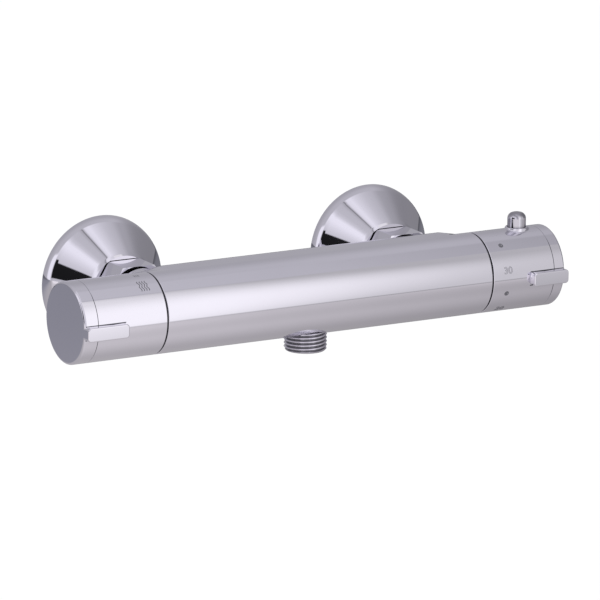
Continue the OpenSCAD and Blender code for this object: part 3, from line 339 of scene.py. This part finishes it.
def onCollarFoot(x, y, z):
    around = math.hypot(x - collar["at"], y)
    onSide = abs(around - collar["radius"]) < near["collar"]
    onSkin = abs(math.hypot(y, z) - barEnds["radius"]) < near["skin"]
    return onSide and onSkin and z < collar["top"] - near["belowTop"]


# Painted shade: fine dark lines stand for the shade in the gaps where a cap meets its sleeve
# and round the foot of its lug. They are fainter on top and below. Each fade is a low and a
# high place with the values there.
gapShade = {"joint": 0.16, "under": 0.26, "blur": 0.04, "lugMiddle": -1.0, "lugHalf": 3.4,
            "flowLug": -109.3, "tempLug": 115.4, "aloft": (13, 18, 1, 0.3),
            "below": (-14, -8, 0.3, 1), "front": (12, 14), "skin": (19.85, 19.95),
            "lug": (20.1, 20.4, 1, 0)}


def paintedGapShade(start):
    x, y, z = start.place()
    blur = gapShade["blur"]

    def line(distance, half):
        return distance.size().riseInMm(half - blur, half + blur, 1, 0)

    jointShade = line(x - barEnds["flowJoint"] * mm, gapShade["joint"])
    jointShade = jointShade + line(x - barEnds["tempJoint"] * mm, gapShade["joint"])
    jointShade = jointShade * z.riseInMm(*gapShade["aloft"]) * z.riseInMm(*gapShade["below"])
    beside = (z - gapShade["lugMiddle"] * mm).size() - gapShade["lugHalf"] * mm
    flowSide = (gapShade["flowLug"] * mm - x).riseInMm(-2 * blur, 0)
    tempSide = (x - gapShade["tempLug"] * mm).riseInMm(-2 * blur, 0)
    outward = ((y - axisY) * (y - axisY) + z * z).root()
    skin = outward.riseInMm(*gapShade["skin"]) * (axisY - y).riseInMm(*gapShade["front"])
    shadeLines = jointShade + line(beside, gapShade["under"]) * (flowSide + tempSide) * skin
    return shadeLines * outward.riseInMm(*gapShade["lug"])


# The handle chrome carries the painted shade in its joint gaps and under its lugs.
finishes["handleChrome"] = makeChrome("handleChrome", paintedGapShade)
softCopy("bar", "valve_body", "chrome", "valve", edgeAt(seamSoft, "left"),
         edgeAt(seamSoft, "right"))
softCopy("flowCap", "flow_cap", "handleChrome", "flow_handle", edgeAt(jointSoft, "flowJoint"),
         (lugSoft, onLugFace), smoothTo=50)
softCopy("tempCap", "temp_cap", "handleChrome", "temp_handle", edgeAt(jointSoft, "tempJoint"),
         (lugSoft, onLugFace), smoothTo=50)
softCopy("flowSleeve", "flow_handle", "handleChrome", "flow_handle",
         edgeAt(seamSoft, "flowSeam"), edgeAt(jointSoft, "flowJoint"))
softCopy("tempSleeve", "temp_handle", "handleChrome", "temp_handle", (rimSoft, onCollarRim),
         (footSoft, onCollarFoot), edgeAt(seamSoft, "tempSeam"), edgeAt(jointSoft, "tempJoint"))
print("bar, sleeves and caps softened")

# A pipe thread is one tooth, spun along its own lead and cut off flat at both ends. The
# spinning starts below the first end, and its first turns are turned down by the lead-in.
pipeThread = {"pitch": 1.814, "depthShare": 0.64, "toothPoints": 9, "stepsPerTurn": 72,
              "startsBelow": 1.5, "spareTurns": 2, "leadIn": 0.9, "mergeWithin": 0.003,
              "endWithin": 0.001}
outletThread = {"major": 10.4775, "bore": 6.6, "start": -27.7, "end": -16.8}
wallThread = {"major": 10.4775, "bore": 7.5, "start": 14.0, "end": -7.1, "height": 5.5}
unionThread = {"major": 13.2205, "bore": 8.5, "start": -28.6, "end": -13.1, "height": 0}
# Painted shade in the outlet thread's roots: the depths below the crest where it starts and
# ends, and how dark it is.
rootShade = {"from": 0.95, "to": 0.25, "darkness": 0.80}


def sliced(bm, point, away):
    bmesh.ops.bisect_plane(bm, geom=bm.verts[:] + bm.edges[:] + bm.faces[:], plane_co=point,
                           plane_no=away, clear_outer=True)


def threadedTube(thread):
    bm = bmesh.new()
    pitch, steps = pipeThread["pitch"], pipeThread["stepsPerTurn"]
    depth = pitch * pipeThread["depthShare"]
    length = abs(thread["end"] - thread["start"])
    last = pipeThread["toothPoints"] - 1
    tooth = []
    for i in range(last + 1):
        reach = thread["major"] - depth * (0.5 - 0.5 * math.cos(2 * math.pi * i / last))
        height = (i / last - pipeThread["startsBelow"]) * pitch
        tooth.append(bm.verts.new((reach * mm, 0, height * mm)))
    flank = [bm.edges.new(pair) for pair in zip(tooth, tooth[1:])]
    turns = math.ceil(length / pitch) + pipeThread["spareTurns"]
    bmesh.ops.spin(bm, geom=tooth + flank, cent=(0, 0, 0), axis=(0, 0, 1),
                   dvec=(0, 0, pitch * mm / steps), angle=2 * math.pi * turns,
                   steps=steps * turns)
    bmesh.ops.remove_doubles(bm, verts=bm.verts[:], dist=pipeThread["mergeWithin"] * mm)
    sliced(bm, (0, 0, 0), (0, 0, -1))
    sliced(bm, (0, 0, length * mm), (0, 0, 1))
    for vert in bm.verts:
        reach = math.hypot(vert.co.x, vert.co.y)
        most = (thread["major"] - pipeThread["leadIn"]) * mm + max(vert.co.z, 0)
        if reach > most:
            vert.co.x *= most / reach
            vert.co.y *= most / reach
    ends = []
    for height in (0, length):
        rim = [e for e in bm.edges if e.is_boundary
               and all(abs(v.co.z - height * mm) < pipeThread["endWithin"] * mm
                       for v in e.verts)]
        made = bmesh.ops.create_circle(bm, segments=steps, radius=thread["bore"] * mm,
                                       matrix=Matrix.Translation((0, 0, height * mm)))
        inner = list(dict.fromkeys(e for v in made["verts"] for e in v.link_edges))
        bmesh.ops.bridge_loops(bm, edges=rim + inner)
        ends += inner
    bmesh.ops.bridge_loops(bm, edges=ends)
    bmesh.ops.recalc_face_normals(bm, faces=bm.faces[:])
    return bm


def kept(bm, point, away):  # the cut is closed again
    sliced(bm, point, away)
    rim = [e for e in bm.edges if e.is_boundary]
    bmesh.ops.triangle_fill(bm, edges=rim, use_beauty=True, use_dissolve=True)


def joined(bm, other, matrix=Matrix.Identity(4)):
    other.transform(matrix)
    passing = bpy.data.meshes.new("passing")
    other.to_mesh(passing)
    other.free()
    bm.from_mesh(passing)
    bpy.data.meshes.remove(passing)


def makeOutlet():
    bm = copyOf("outlet_nipple")
    kept(bm, (0, axisY, outletThread["end"] * mm), (0, 0, -1))
    foot = Matrix.Translation((0, axisY, outletThread["start"] * mm))
    joined(bm, threadedTube(outletThread), foot)
    finished("outletThread", bm, "outletChrome", "valve", "outlet_nipple", smoothTo=50)


def makeUnion(name, node, side):
    bm = copyOf(node)
    kept(bm, (0, wallThread["end"] * mm, 0), (0, 1, 0))
    kept(bm, (0, unionThread["end"] * mm, 0), (0, -1, 0))
    for thread, away in ((wallThread, 1), (unionThread, -1)):
        foot = (side * inletHalf * mm, thread["start"] * mm, thread["height"] * mm)
        joined(bm, threadedTube(thread),
               Matrix.Translation(foot) @ Matrix.Rotation(away * math.pi / 2, 4, "X"))
    finished(name, bm, "chrome", "valve", node, smoothTo=50)


def paintedRootShade(start):  # painted shade: the roots of the outlet's thread are painted darker than its crests
    x, y, z = start.place()
    reach = (x * x + (y - axisY) * (y - axisY)).root()
    major = outletThread["major"]
    return reach.riseInMm(major - rootShade["from"], major - rootShade["to"],
                          rootShade["darkness"], 0.0)


# The outlet's chrome carries the painted shade in its thread roots.
finishes["outletChrome"] = makeChrome("outletChrome", paintedRootShade)
makeOutlet()
makeUnion("hotUnion", "hot_s_union", -1)
makeUnion("coldUnion", "cold_s_union", 1)
print("threads cut")

unionNut = {"corner": 17.25}
nutSoft = {"width": 0.35, "segments": 3, "over": 40}


def nutCorners(side):
    def chosen(x, y, z):
        return math.hypot(x - side * inletHalf, z) > unionNut["corner"]
    return nutSoft, chosen


softCopy("hotNut", "hot_union_nut", "chrome", "valve", nutCorners(-1))
softCopy("coldNut", "cold_union_nut", "chrome", "valve", nutCorners(1))

# Springs are wound with round wire. The pieces that each end pushes on are listed with it, but
# a spring is attached only when it has one piece; the others are baked in place.
springWire = {"sides": 10, "stepsPerTurn": 32}
quarterTurn = {"x": Matrix.Rotation(math.pi / 2, 4, "Y"), "z": Matrix.Identity(4),
               "y": Matrix.Rotation(-math.pi / 2, 4, "X")}
springs = (
    ("hotCheckSpring", "hot_check_spring", ("valve", "hot_poppet"), "y", 2.4, 0.3, 4),
    ("coldCheckSpring", "cold_check_spring", ("valve", "cold_poppet"), "y", 2.4, 0.3, 4),
    ("returnSpring", "return_spring", ("valve", "setting_nut"), "x", 7.4, 0.6, 6),
    ("overloadSpring", "overload_spring", ("setting_nut",), "x", 5.0, 0.7, 3),
    ("buttonSpring", "button_spring", ("temp_handle", "button"), "z", 3.09, 0.3, 5),
)


def makeSpring(name, node, bodies, axis, coil, wire, turns):
    low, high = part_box(node)
    along = "xyz".index(axis)
    start = (Vector(low) + Vector(high)) / 2
    end = start.copy()
    start[along], end[along] = low[along], high[along]
    steps = springWire["stepsPerTurn"] * turns
    climb = high[along] - low[along] - 2 * wire * mm
    upright = Matrix.Rotation(math.pi / 2, 4, "X")
    bm = bmesh.new()
    section = bmesh.ops.create_circle(
        bm, segments=springWire["sides"], radius=wire * mm,
        matrix=Matrix.Translation((coil * mm, 0, wire * mm)) @ upright)
    bmesh.ops.spin(bm, geom=section["verts"] + bm.edges[:], cent=(0, 0, 0), axis=(0, 0, 1),
                   dvec=(0, 0, climb / steps), angle=2 * math.pi * turns, steps=steps)
    bmesh.ops.holes_fill(bm, edges=[e for e in bm.edges if e.is_boundary])
    bmesh.ops.recalc_face_normals(bm, faces=bm.faces[:])
    bm.transform(Matrix.Translation(start) @ quarterTurn[axis])
    body = bodies[0] if len(bodies) == 1 else (*bodies, start, end)
    finished(name, bm, "steel", body, node, smoothTo=50)


for row in springs:
    makeSpring(*row)
print("nuts and springs made")

# Wall covers and the button are turned from their outlines: pairs of radius and height.
wallCover = {"rim": 32.19, "round": 12.0, "leaning": 36.9, "points": 10, "neck": 18.3,
             "shoulder": (1.4, 1.2), "depth": 23.7, "bore": 13.27, "collar": 15.4,
             "collarLength": 7, "wall": 1.3, "innerDrop": 0.4, "steps": 160,
             "neckRound": 0.8, "neckSegments": 4}
buttonShape = {"at": 119.0, "radius": 4.58, "foot": 18.3, "top": 28.3, "crown": 0.25,
               "round": 3.0, "points": 8, "wall": 0.9, "hollow": 5.0, "grip": 2.0,
               "stem": 2.55, "steps": 72}
# Painted shade on the button: where it starts and ends on the dome and at the foot, with the
# levels there.
buttonShade = {"dome": (25.6, 27.4, 0.25, 0.55), "foot": (20.9, 22.2, 0.3, 0.0)}


def turnedPiece(outline, steps):
    bm = bmesh.new()
    ring = [bm.verts.new((reach * mm, 0, height * mm)) for reach, height in outline]
    edges = [bm.edges.new(pair) for pair in zip(ring, ring[1:] + ring[:1])]
    bmesh.ops.spin(bm, geom=ring + edges, cent=(0, 0, 0), axis=(0, 0, 1),
                   angle=2 * math.pi, steps=steps, use_merge=True)
    bmesh.ops.remove_doubles(bm, verts=bm.verts[:], dist=mergeWithin)
    bmesh.ops.recalc_face_normals(bm, faces=bm.faces[:])
    return bm


def roundRing(bm, reach, height, width, segments):
    ring = [e for e in bm.edges
            if all(abs(v.co.z - height * mm) < near["ring"] * mm
                   and abs(math.hypot(v.co.x, v.co.y) - reach * mm) < near["ring"] * mm
                   for v in e.verts)]
    bmesh.ops.bevel(bm, geom=ring, offset=width * mm, offset_type="OFFSET",
                    segments=segments, profile=0.5, affect="EDGES", material=-1,
                    clamp_overlap=True)


def makeCover(name, node, side):
    c = wallCover
    wall, neck, top = c["wall"], c["neck"], c["depth"]
    inward, down = c["shoulder"]
    bell = []
    for i in range(c["points"]):  # the bell starts upright at the wall and leans over
        lean = math.radians(c["leaning"] * i / (c["points"] - 1))
        bell.append((c["rim"] - c["round"] * (1 - math.cos(lean)), c["round"] * math.sin(lean)))
    inner = [(reach - wall, max(height - c["innerDrop"] * wall, 0))
             for reach, height in reversed(bell)]
    foot = top - c["collarLength"]
    outline = bell + [(neck, top - down), (neck - inward, top), (c["bore"], top),
                      (c["bore"], foot), (c["collar"], foot), (c["collar"], top - wall),
                      (neck - inward - wall / 2, top - wall),
                      (neck - wall, top - down - wall)] + inner
    bm = turnedPiece(outline, c["steps"])
    roundRing(bm, neck, top - down, c["neckRound"], c["neckSegments"])
    bm.transform(Matrix.Translation((side * inletHalf * mm, 0, 0))
                 @ Matrix.Rotation(math.pi / 2, 4, "X"))
    finished(name, bm, "chrome", "valve", node, smoothTo=40)


def makeButton():
    b = buttonShape
    inside = b["foot"] + b["hollow"]
    middle = (b["radius"] - b["round"], b["top"] - b["crown"] - b["round"])
    outline = [(0.0, b["top"]), (middle[0], b["top"] - b["crown"])]
    for i in range(1, b["points"] + 1):
        turn = math.radians(90 - 90 * i / b["points"])
        outline.append((middle[0] + b["round"] * math.cos(turn),
                        middle[1] + b["round"] * math.sin(turn)))
    outline += [(b["radius"], b["foot"]), (b["radius"] - b["wall"], b["foot"]),
                (b["radius"] - b["wall"], inside), (b["stem"], inside),
                (b["stem"], inside + b["grip"]), (0.0, inside + b["grip"])]
    bm = turnedPiece(outline, b["steps"])
    bm.transform(Matrix.Translation((b["at"] * mm, axisY, 0)))
    finished("button", bm, "buttonChrome", "button", "safety_button", smoothTo=40)


def paintedButtonShade(start):  # painted shade: its dome and its foot are painted darker than its side
    x, y, z = start.place()
    return z.riseInMm(*buttonShade["dome"]) + z.riseInMm(*buttonShade["foot"])


# The button's chrome carries the painted shade on its dome and foot.
finishes["buttonChrome"] = makeChrome("buttonChrome", paintedButtonShade)
makeCover("hotCover", "hot_wall_cover", -1)
makeCover("coldCover", "cold_wall_cover", 1)
makeButton()
print("covers and button turned")

# Marks are soft grey and lie a hair above the chrome of their handle. Each has its station
# along the bar and its angle, in degrees up from the front.
marks = {"lift": 0.02, "digitHeight": 3.5862, "digitStroke": 0.016, "digitCurve": 6,
         "digits": (("30", 102.9, 13.0), ("20", 102.9, -54.0)),
         "dots": ((102.4, 51.0, 1.25), (102.6, -21.5, 1.25)), "dotInset": 0.35,
         "dotSides": 24}
# A wave has its length, its swing to the side, its width and its number of periods.
waves = {"steps": 18,
         "rows": ({"at": -95.4, "angle": 57.0, "count": 4, "gap": 1.35,
                   "wave": (6.4, 0.34, 0.48, 2)},
                  {"at": -95.0, "angle": 81.5, "count": 3, "gap": 1.0,
                   "wave": (2.2, 0.18, 0.3, 1)})}
markGrey = {"name": "markGrey", "metallic": 0.6, "dark": (0.17, 0.17, 0.19),
            "light": (0.27, 0.27, 0.29), "cloud": (2500, 2), "grain": (2500, 2),
            "roughness": 0.35, "spread": 0.2, "bump": 0.004}


def wrapped(bm, station, angle):  # flat marks in the XY plane are laid round the bar
    around = barEnds["radius"] + marks["lift"]
    for vert in bm.verts:
        turn = math.radians(angle) + vert.co.y / (around * mm)
        reach = around * mm + vert.co.z
        vert.co = (station * mm + vert.co.x, axisY - reach * math.cos(turn),
                   reach * math.sin(turn))
    return bm


def digitMark(text):
    curve = bpy.data.curves.new("digits", "FONT")
    curve.body, curve.size, curve.align_x, curve.align_y = text, 1, "CENTER", "CENTER"
    curve.fill_mode, curve.bevel_depth, curve.bevel_resolution = "NONE", marks["digitStroke"], 1
    curve.resolution_u = marks["digitCurve"]
    flat = bpy.data.objects.new("digits", curve)
    bpy.context.scene.collection.objects.link(flat)
    mesh = bpy.data.meshes.new_from_object(
        flat.evaluated_get(bpy.context.evaluated_depsgraph_get()))
    bpy.data.objects.remove(flat)
    bpy.data.curves.remove(curve)
    bm = bmesh.new()
    bm.from_mesh(mesh)
    bpy.data.meshes.remove(mesh)
    low, high = ([pick(v.co[i] for v in bm.verts) for i in range(2)] for pick in (min, max))
    middle = (Vector(low) + Vector(high)) / 2
    bmesh.ops.translate(bm, verts=bm.verts[:], vec=(-middle.x, -middle.y, 0))
    scale = marks["digitHeight"] * mm / (high[1] - low[1])
    bmesh.ops.scale(bm, verts=bm.verts[:], vec=[scale] * 3)
    return bm


def dotMark(radius):
    bm = bmesh.new()
    inset = radius * marks["dotInset"] * mm
    bmesh.ops.create_circle(bm, cap_ends=True, segments=marks["dotSides"], radius=radius * mm)
    bmesh.ops.inset_region(bm, faces=bm.faces[:], thickness=inset)
    bmesh.ops.inset_region(bm, faces=[f for f in bm.faces if len(f.verts) == marks["dotSides"]],
                           thickness=inset)
    return bm


def waveMark(length, swing, width, periods):
    bm = bmesh.new()
    bmesh.ops.create_grid(bm, x_segments=1, y_segments=waves["steps"], size=1,
                          matrix=Matrix.Diagonal((width / 2 * mm, length / 2 * mm, 1, 1)))
    for vert in bm.verts:
        share = vert.co.y / (length * mm) + 0.5
        vert.co.x += swing * math.sin(2 * math.pi * periods * share) * mm
    return bm


def makeMarks():
    bm = bmesh.new()
    for text, station, angle in marks["digits"]:
        joined(bm, wrapped(digitMark(text), station, angle))
    for station, angle, radius in marks["dots"]:
        joined(bm, wrapped(dotMark(radius), station, angle))
    finished("tempMarks", bm, "markGrey", "temp_handle")
    bm = bmesh.new()
    for row in waves["rows"]:
        for i in range(row["count"]):
            station = row["at"] + (i - (row["count"] - 1) / 2) * row["gap"]
            joined(bm, wrapped(waveMark(*row["wave"]), station, row["angle"]))
    finished("flowMarks", bm, "markGrey", "flow_handle")


finishes["markGrey"] = makePlain(**markGrey)
makeMarks()
print("marks laid on")

photoView = {"target": (-3.2, -70.6, -2.86), "azimuth": -29.79, "elevation": 13.73,
             "roll": 0.64, "distance": 3302, "lens": 409.42, "sensor": 36, "clip": (0.1, 60)}


def makeCamera():
    turn, lift = (math.radians(photoView[k]) for k in ("azimuth", "elevation"))
    back = Vector((math.sin(turn) * math.cos(lift), -math.cos(turn) * math.cos(lift),
                   math.sin(lift)))
    right = (-back).cross(Vector((0, 0, 1))).normalized()
    up = right.cross(-back)
    tilt = math.radians(photoView["roll"])
    right, up = (math.cos(tilt) * right + math.sin(tilt) * up,
                 math.cos(tilt) * up - math.sin(tilt) * right)
    camera = bpy.data.objects.new("camera", bpy.data.cameras.new("camera"))
    bpy.context.scene.collection.objects.link(camera)
    place = Matrix((right, up, back)).transposed().to_4x4()
    place.translation = Vector(photoView["target"]) * mm + back * photoView["distance"] * mm
    camera.matrix_world = place
    camera.data.lens, camera.data.sensor_width = photoView["lens"], photoView["sensor"]
    camera.data.sensor_fit = "HORIZONTAL"
    camera.data.clip_start, camera.data.clip_end = photoView["clip"]
    bpy.context.scene.camera = camera


makeCamera()
print("camera set")

# The studio is given in metres, and the panels in directions of length 1. Two numbers say
# where a soft edge starts and ends, and two more say the level before and after it.
studioBrightness = 1.2
# Soft panels round the valve, from the left (0) over the top to the right (1).
sidePanels = [(place, (level, level, level)) for place, level in (
    (0.0, 0.46), (0.075, 0.62), (0.14, 0.79), (0.19, 0.88), (0.24, 0.60), (0.28, 0.52),
    (0.350, 0.50), (0.385, 0.40), (0.393, 0.14), (0.402, 0.42), (0.425, 0.74), (0.475, 0.79),
    (0.52, 0.70), (0.635, 0.55), (0.735, 0.475), (0.80, 0.37), (0.86, 0.33), (0.93, 0.26),
    (0.96, 0.21), (1.0, 0.20))]
panelColour = (1.0, 0.985, 1.06)
rearWall = {"depth": (0.3, 0.8, 0.56, 0.44), "right": (0.5, 0.9, 1.0, 0.5),
            "begins": (0.08, 0.2)}
# A dark doorway stands on the left. It is wider and higher beside the valve than in front.
doorway = {"darkness": 0.98, "side": (0.80, 0.84), "foot": (0.02, 0.04),
           "top": (0.36, 0.39, 1, 0), "rear": (0.0, 0.06, 1, 0), "grows": (-0.22, -0.16),
           "wider": 0.08, "higher": 0.07}
doorLight = {"level": 0.6, "side": (0.78, 0.86), "front": (0.06, 0.12),
             "rear": (0.3, 0.45, 1, 0), "top": (0.45, 0.6, 1, 0)}


def panelTint(start, x, y, z):
    across = start.node("ValToRGB", {"stops": sidePanels}, {"Fac": 0.5 * x + 0.5})
    level = studioBrightness * across
    rear = y.rise(*rearWall["depth"]) * x.rise(*rearWall["right"])
    level = level + (rear - level) * y.rise(*rearWall["begins"])
    grown = y.rise(*doorway["grows"])
    dark = (doorway["wider"] * grown - x).rise(*doorway["side"]) * z.rise(*doorway["foot"])
    dark = dark * (z - doorway["higher"] * grown).rise(*doorway["top"])
    level = level * (1 - doorway["darkness"] * dark * y.rise(*doorway["rear"]))
    light = (0 - x).rise(*doorLight["side"]) * y.rise(*doorLight["front"])
    light = light * y.rise(*doorLight["rear"]) * z.rise(*doorLight["top"])
    level = level + doorLight["level"] * light
    return level.tone((0, 0, 0), panelColour)


def makeWorld():
    world = bpy.data.worlds.new("studio")
    bpy.context.scene.world = world
    world.use_nodes = True
    start = Wire(world.node_tree)
    tint = panelTint(start, *start.place("Generated"))
    seen = start.node("LightPath", {}, {}, "Is Camera Ray")
    into(world.node_tree.nodes["Background"], "Color", seen.tone(tint, (1, 1, 1)))


def stageObject(name, bm):
    mesh = bpy.data.meshes.new(name)
    bm.to_mesh(mesh)
    bm.free()
    made = bpy.data.objects.new(name, mesh)
    bpy.context.scene.collection.objects.link(made)
    return made


def plainSheet(name, matrix):
    bm = bmesh.new()
    bmesh.ops.create_grid(bm, x_segments=4, y_segments=4, size=1, matrix=matrix)
    return stageObject(name, bm)


def litMaterial(name):
    material = bpy.data.materials.new(name)
    material.use_nodes = True
    tree = material.node_tree
    tree.nodes.remove(tree.nodes["Principled BSDF"])
    return material, Wire(tree), tree.nodes["Material Output"]


# The floor looks white from the camera, and in the chrome it has the levels given here.
floorLook = {"height": -0.25, "half": 7, "matt": (0.9, 0.9, 0.91, 1), "white": 1.06,
             "share": 0.9, "front": (0.0, 0.25, 0.43, 0.62), "farFront": (0.30, 0.8, 0.0, 0.30),
             "across": (-0.05, 0.45, 1.12, 0.68), "rear": (0.15, 0.9, 1.0, 0.55),
             "farRear": (1.2, 3.0, 1.0, 0.45), "cooler": (0.15, 0.9),
             "colours": ((1.0, 0.962, 0.985), (0.98, 0.985, 1.14))}


def makeFloor():
    f = floorLook
    floor = plainSheet("floor", Matrix.Translation((0, 0, f["height"]))
                       @ Matrix.Diagonal((f["half"], f["half"], 1, 1)))
    material, start, output = litMaterial("paleFloor")
    camera = start.node("LightPath", {}, {}, "Is Camera Ray")
    glossy = start.node("LightPath", {}, {}, "Is Glossy Ray")
    x, y, z = start.place()
    level = (0 - y).rise(*f["front"]) + (0 - y).rise(*f["farFront"])
    level = level * x.rise(*f["across"]) * y.rise(*f["rear"]) * y.rise(*f["farRear"])
    colour = y.rise(*f["cooler"]).tone(*f["colours"])
    matt = start.node("BsdfDiffuse", {}, {"Color": f["matt"]})
    white = start.node("Emission", {}, {"Color": (1, 1, 1, 1), "Strength": f["white"]})
    shown = start.node("Emission", {}, {"Color": colour, "Strength": level})
    mixed = start.node("MixShader", {}, {0: f["share"] * camera, 1: matt, 2: white})
    mixed = start.node("MixShader", {}, {0: f["share"] * glossy, 1: mixed, 2: shown})
    into(output, "Surface", mixed)
    floor.data.materials.append(material)


# A soft card lights the front of the bar.
cardLook = {"middle": (0.675, -0.67, 0.655), "halfWidth": 0.575, "halfHeight": 0.845,
            "colour": (1.0, 0.985, 1.015, 1), "slant": 0.25, "across": (0.20, 0.46, 1.17, 0.70),
            "upper": (0.25, 0.95, 1.0, 0.78), "foot": (-0.19, -0.145, 0.57, 1.0)}


def makeCard():
    c = cardLook
    card = plainSheet("frontCard", Matrix.Translation(c["middle"])
                      @ Matrix.Rotation(math.pi / 2, 4, "X")
                      @ Matrix.Diagonal((c["halfWidth"], c["halfHeight"], 1, 1)))
    card.visible_camera = False
    material, start, output = litMaterial("softCard")
    x, y, z = start.place()
    level = (x - c["slant"] * z).rise(*c["across"]) * z.rise(*c["upper"]) * z.rise(*c["foot"])
    into(output, "Surface", start.node("Emission", {}, {"Color": c["colour"],
                                                       "Strength": level}))
    card.data.materials.append(material)


# The dome shows the same panels at a real distance, so that the valve's two ends differ.
domeShape = {"radius": 1.1, "front": -0.40, "subdivisions": 5}


def makeDome():
    bm = bmesh.new()
    bmesh.ops.create_icosphere(bm, subdivisions=domeShape["subdivisions"],
                               radius=domeShape["radius"])
    sliced(bm, (0, 0, 0), (0, 0, -1))
    sliced(bm, (0, domeShape["front"], 0), (0, -1, 0))
    dome = stageObject("dome", bm)
    dome.visible_camera = dome.visible_diffuse = dome.visible_shadow = False
    material, start, output = litMaterial("softPanels")
    tint = panelTint(start, *[share * (1 / domeShape["radius"]) for share in start.place()])
    into(output, "Surface", start.node("Emission", {}, {"Color": tint}))
    dome.data.materials.append(material)


# Each lamp has its place, its width and height, and its radiance. All look at the bar.
lampAim = (0, -0.05, 0)
lamps = {"keyLamp": ((-0.95, -0.75, 1.25), (0.7, 0.8), 1.25),
         "topLamp": ((0.05, -0.30, 1.50), (0.25, 0.9), 0.9),
         "rearLamp": ((0.7, 1.3, 0.9), (0.9, 0.7), 0.9)}


def makeLamp(name, place, size, radiance):
    lamp = bpy.data.lights.new(name, "AREA")
    lamp.shape, lamp.size, lamp.size_y = "RECTANGLE", size[0], size[1]
    lamp.energy = radiance * math.pi * size[0] * size[1]
    made = bpy.data.objects.new(name, lamp)
    bpy.context.scene.collection.objects.link(made)
    made.location = place
    made.rotation_euler = (Vector(lampAim) - Vector(place)).to_track_quat("-Z", "Y").to_euler()
    made.visible_camera = made.visible_glossy = False


makeWorld()
makeFloor()
makeCard()
makeDome()
for name, values in lamps.items():
    makeLamp(name, *values)
bpy.context.scene.view_settings.view_transform = "Standard"
print("studio set")
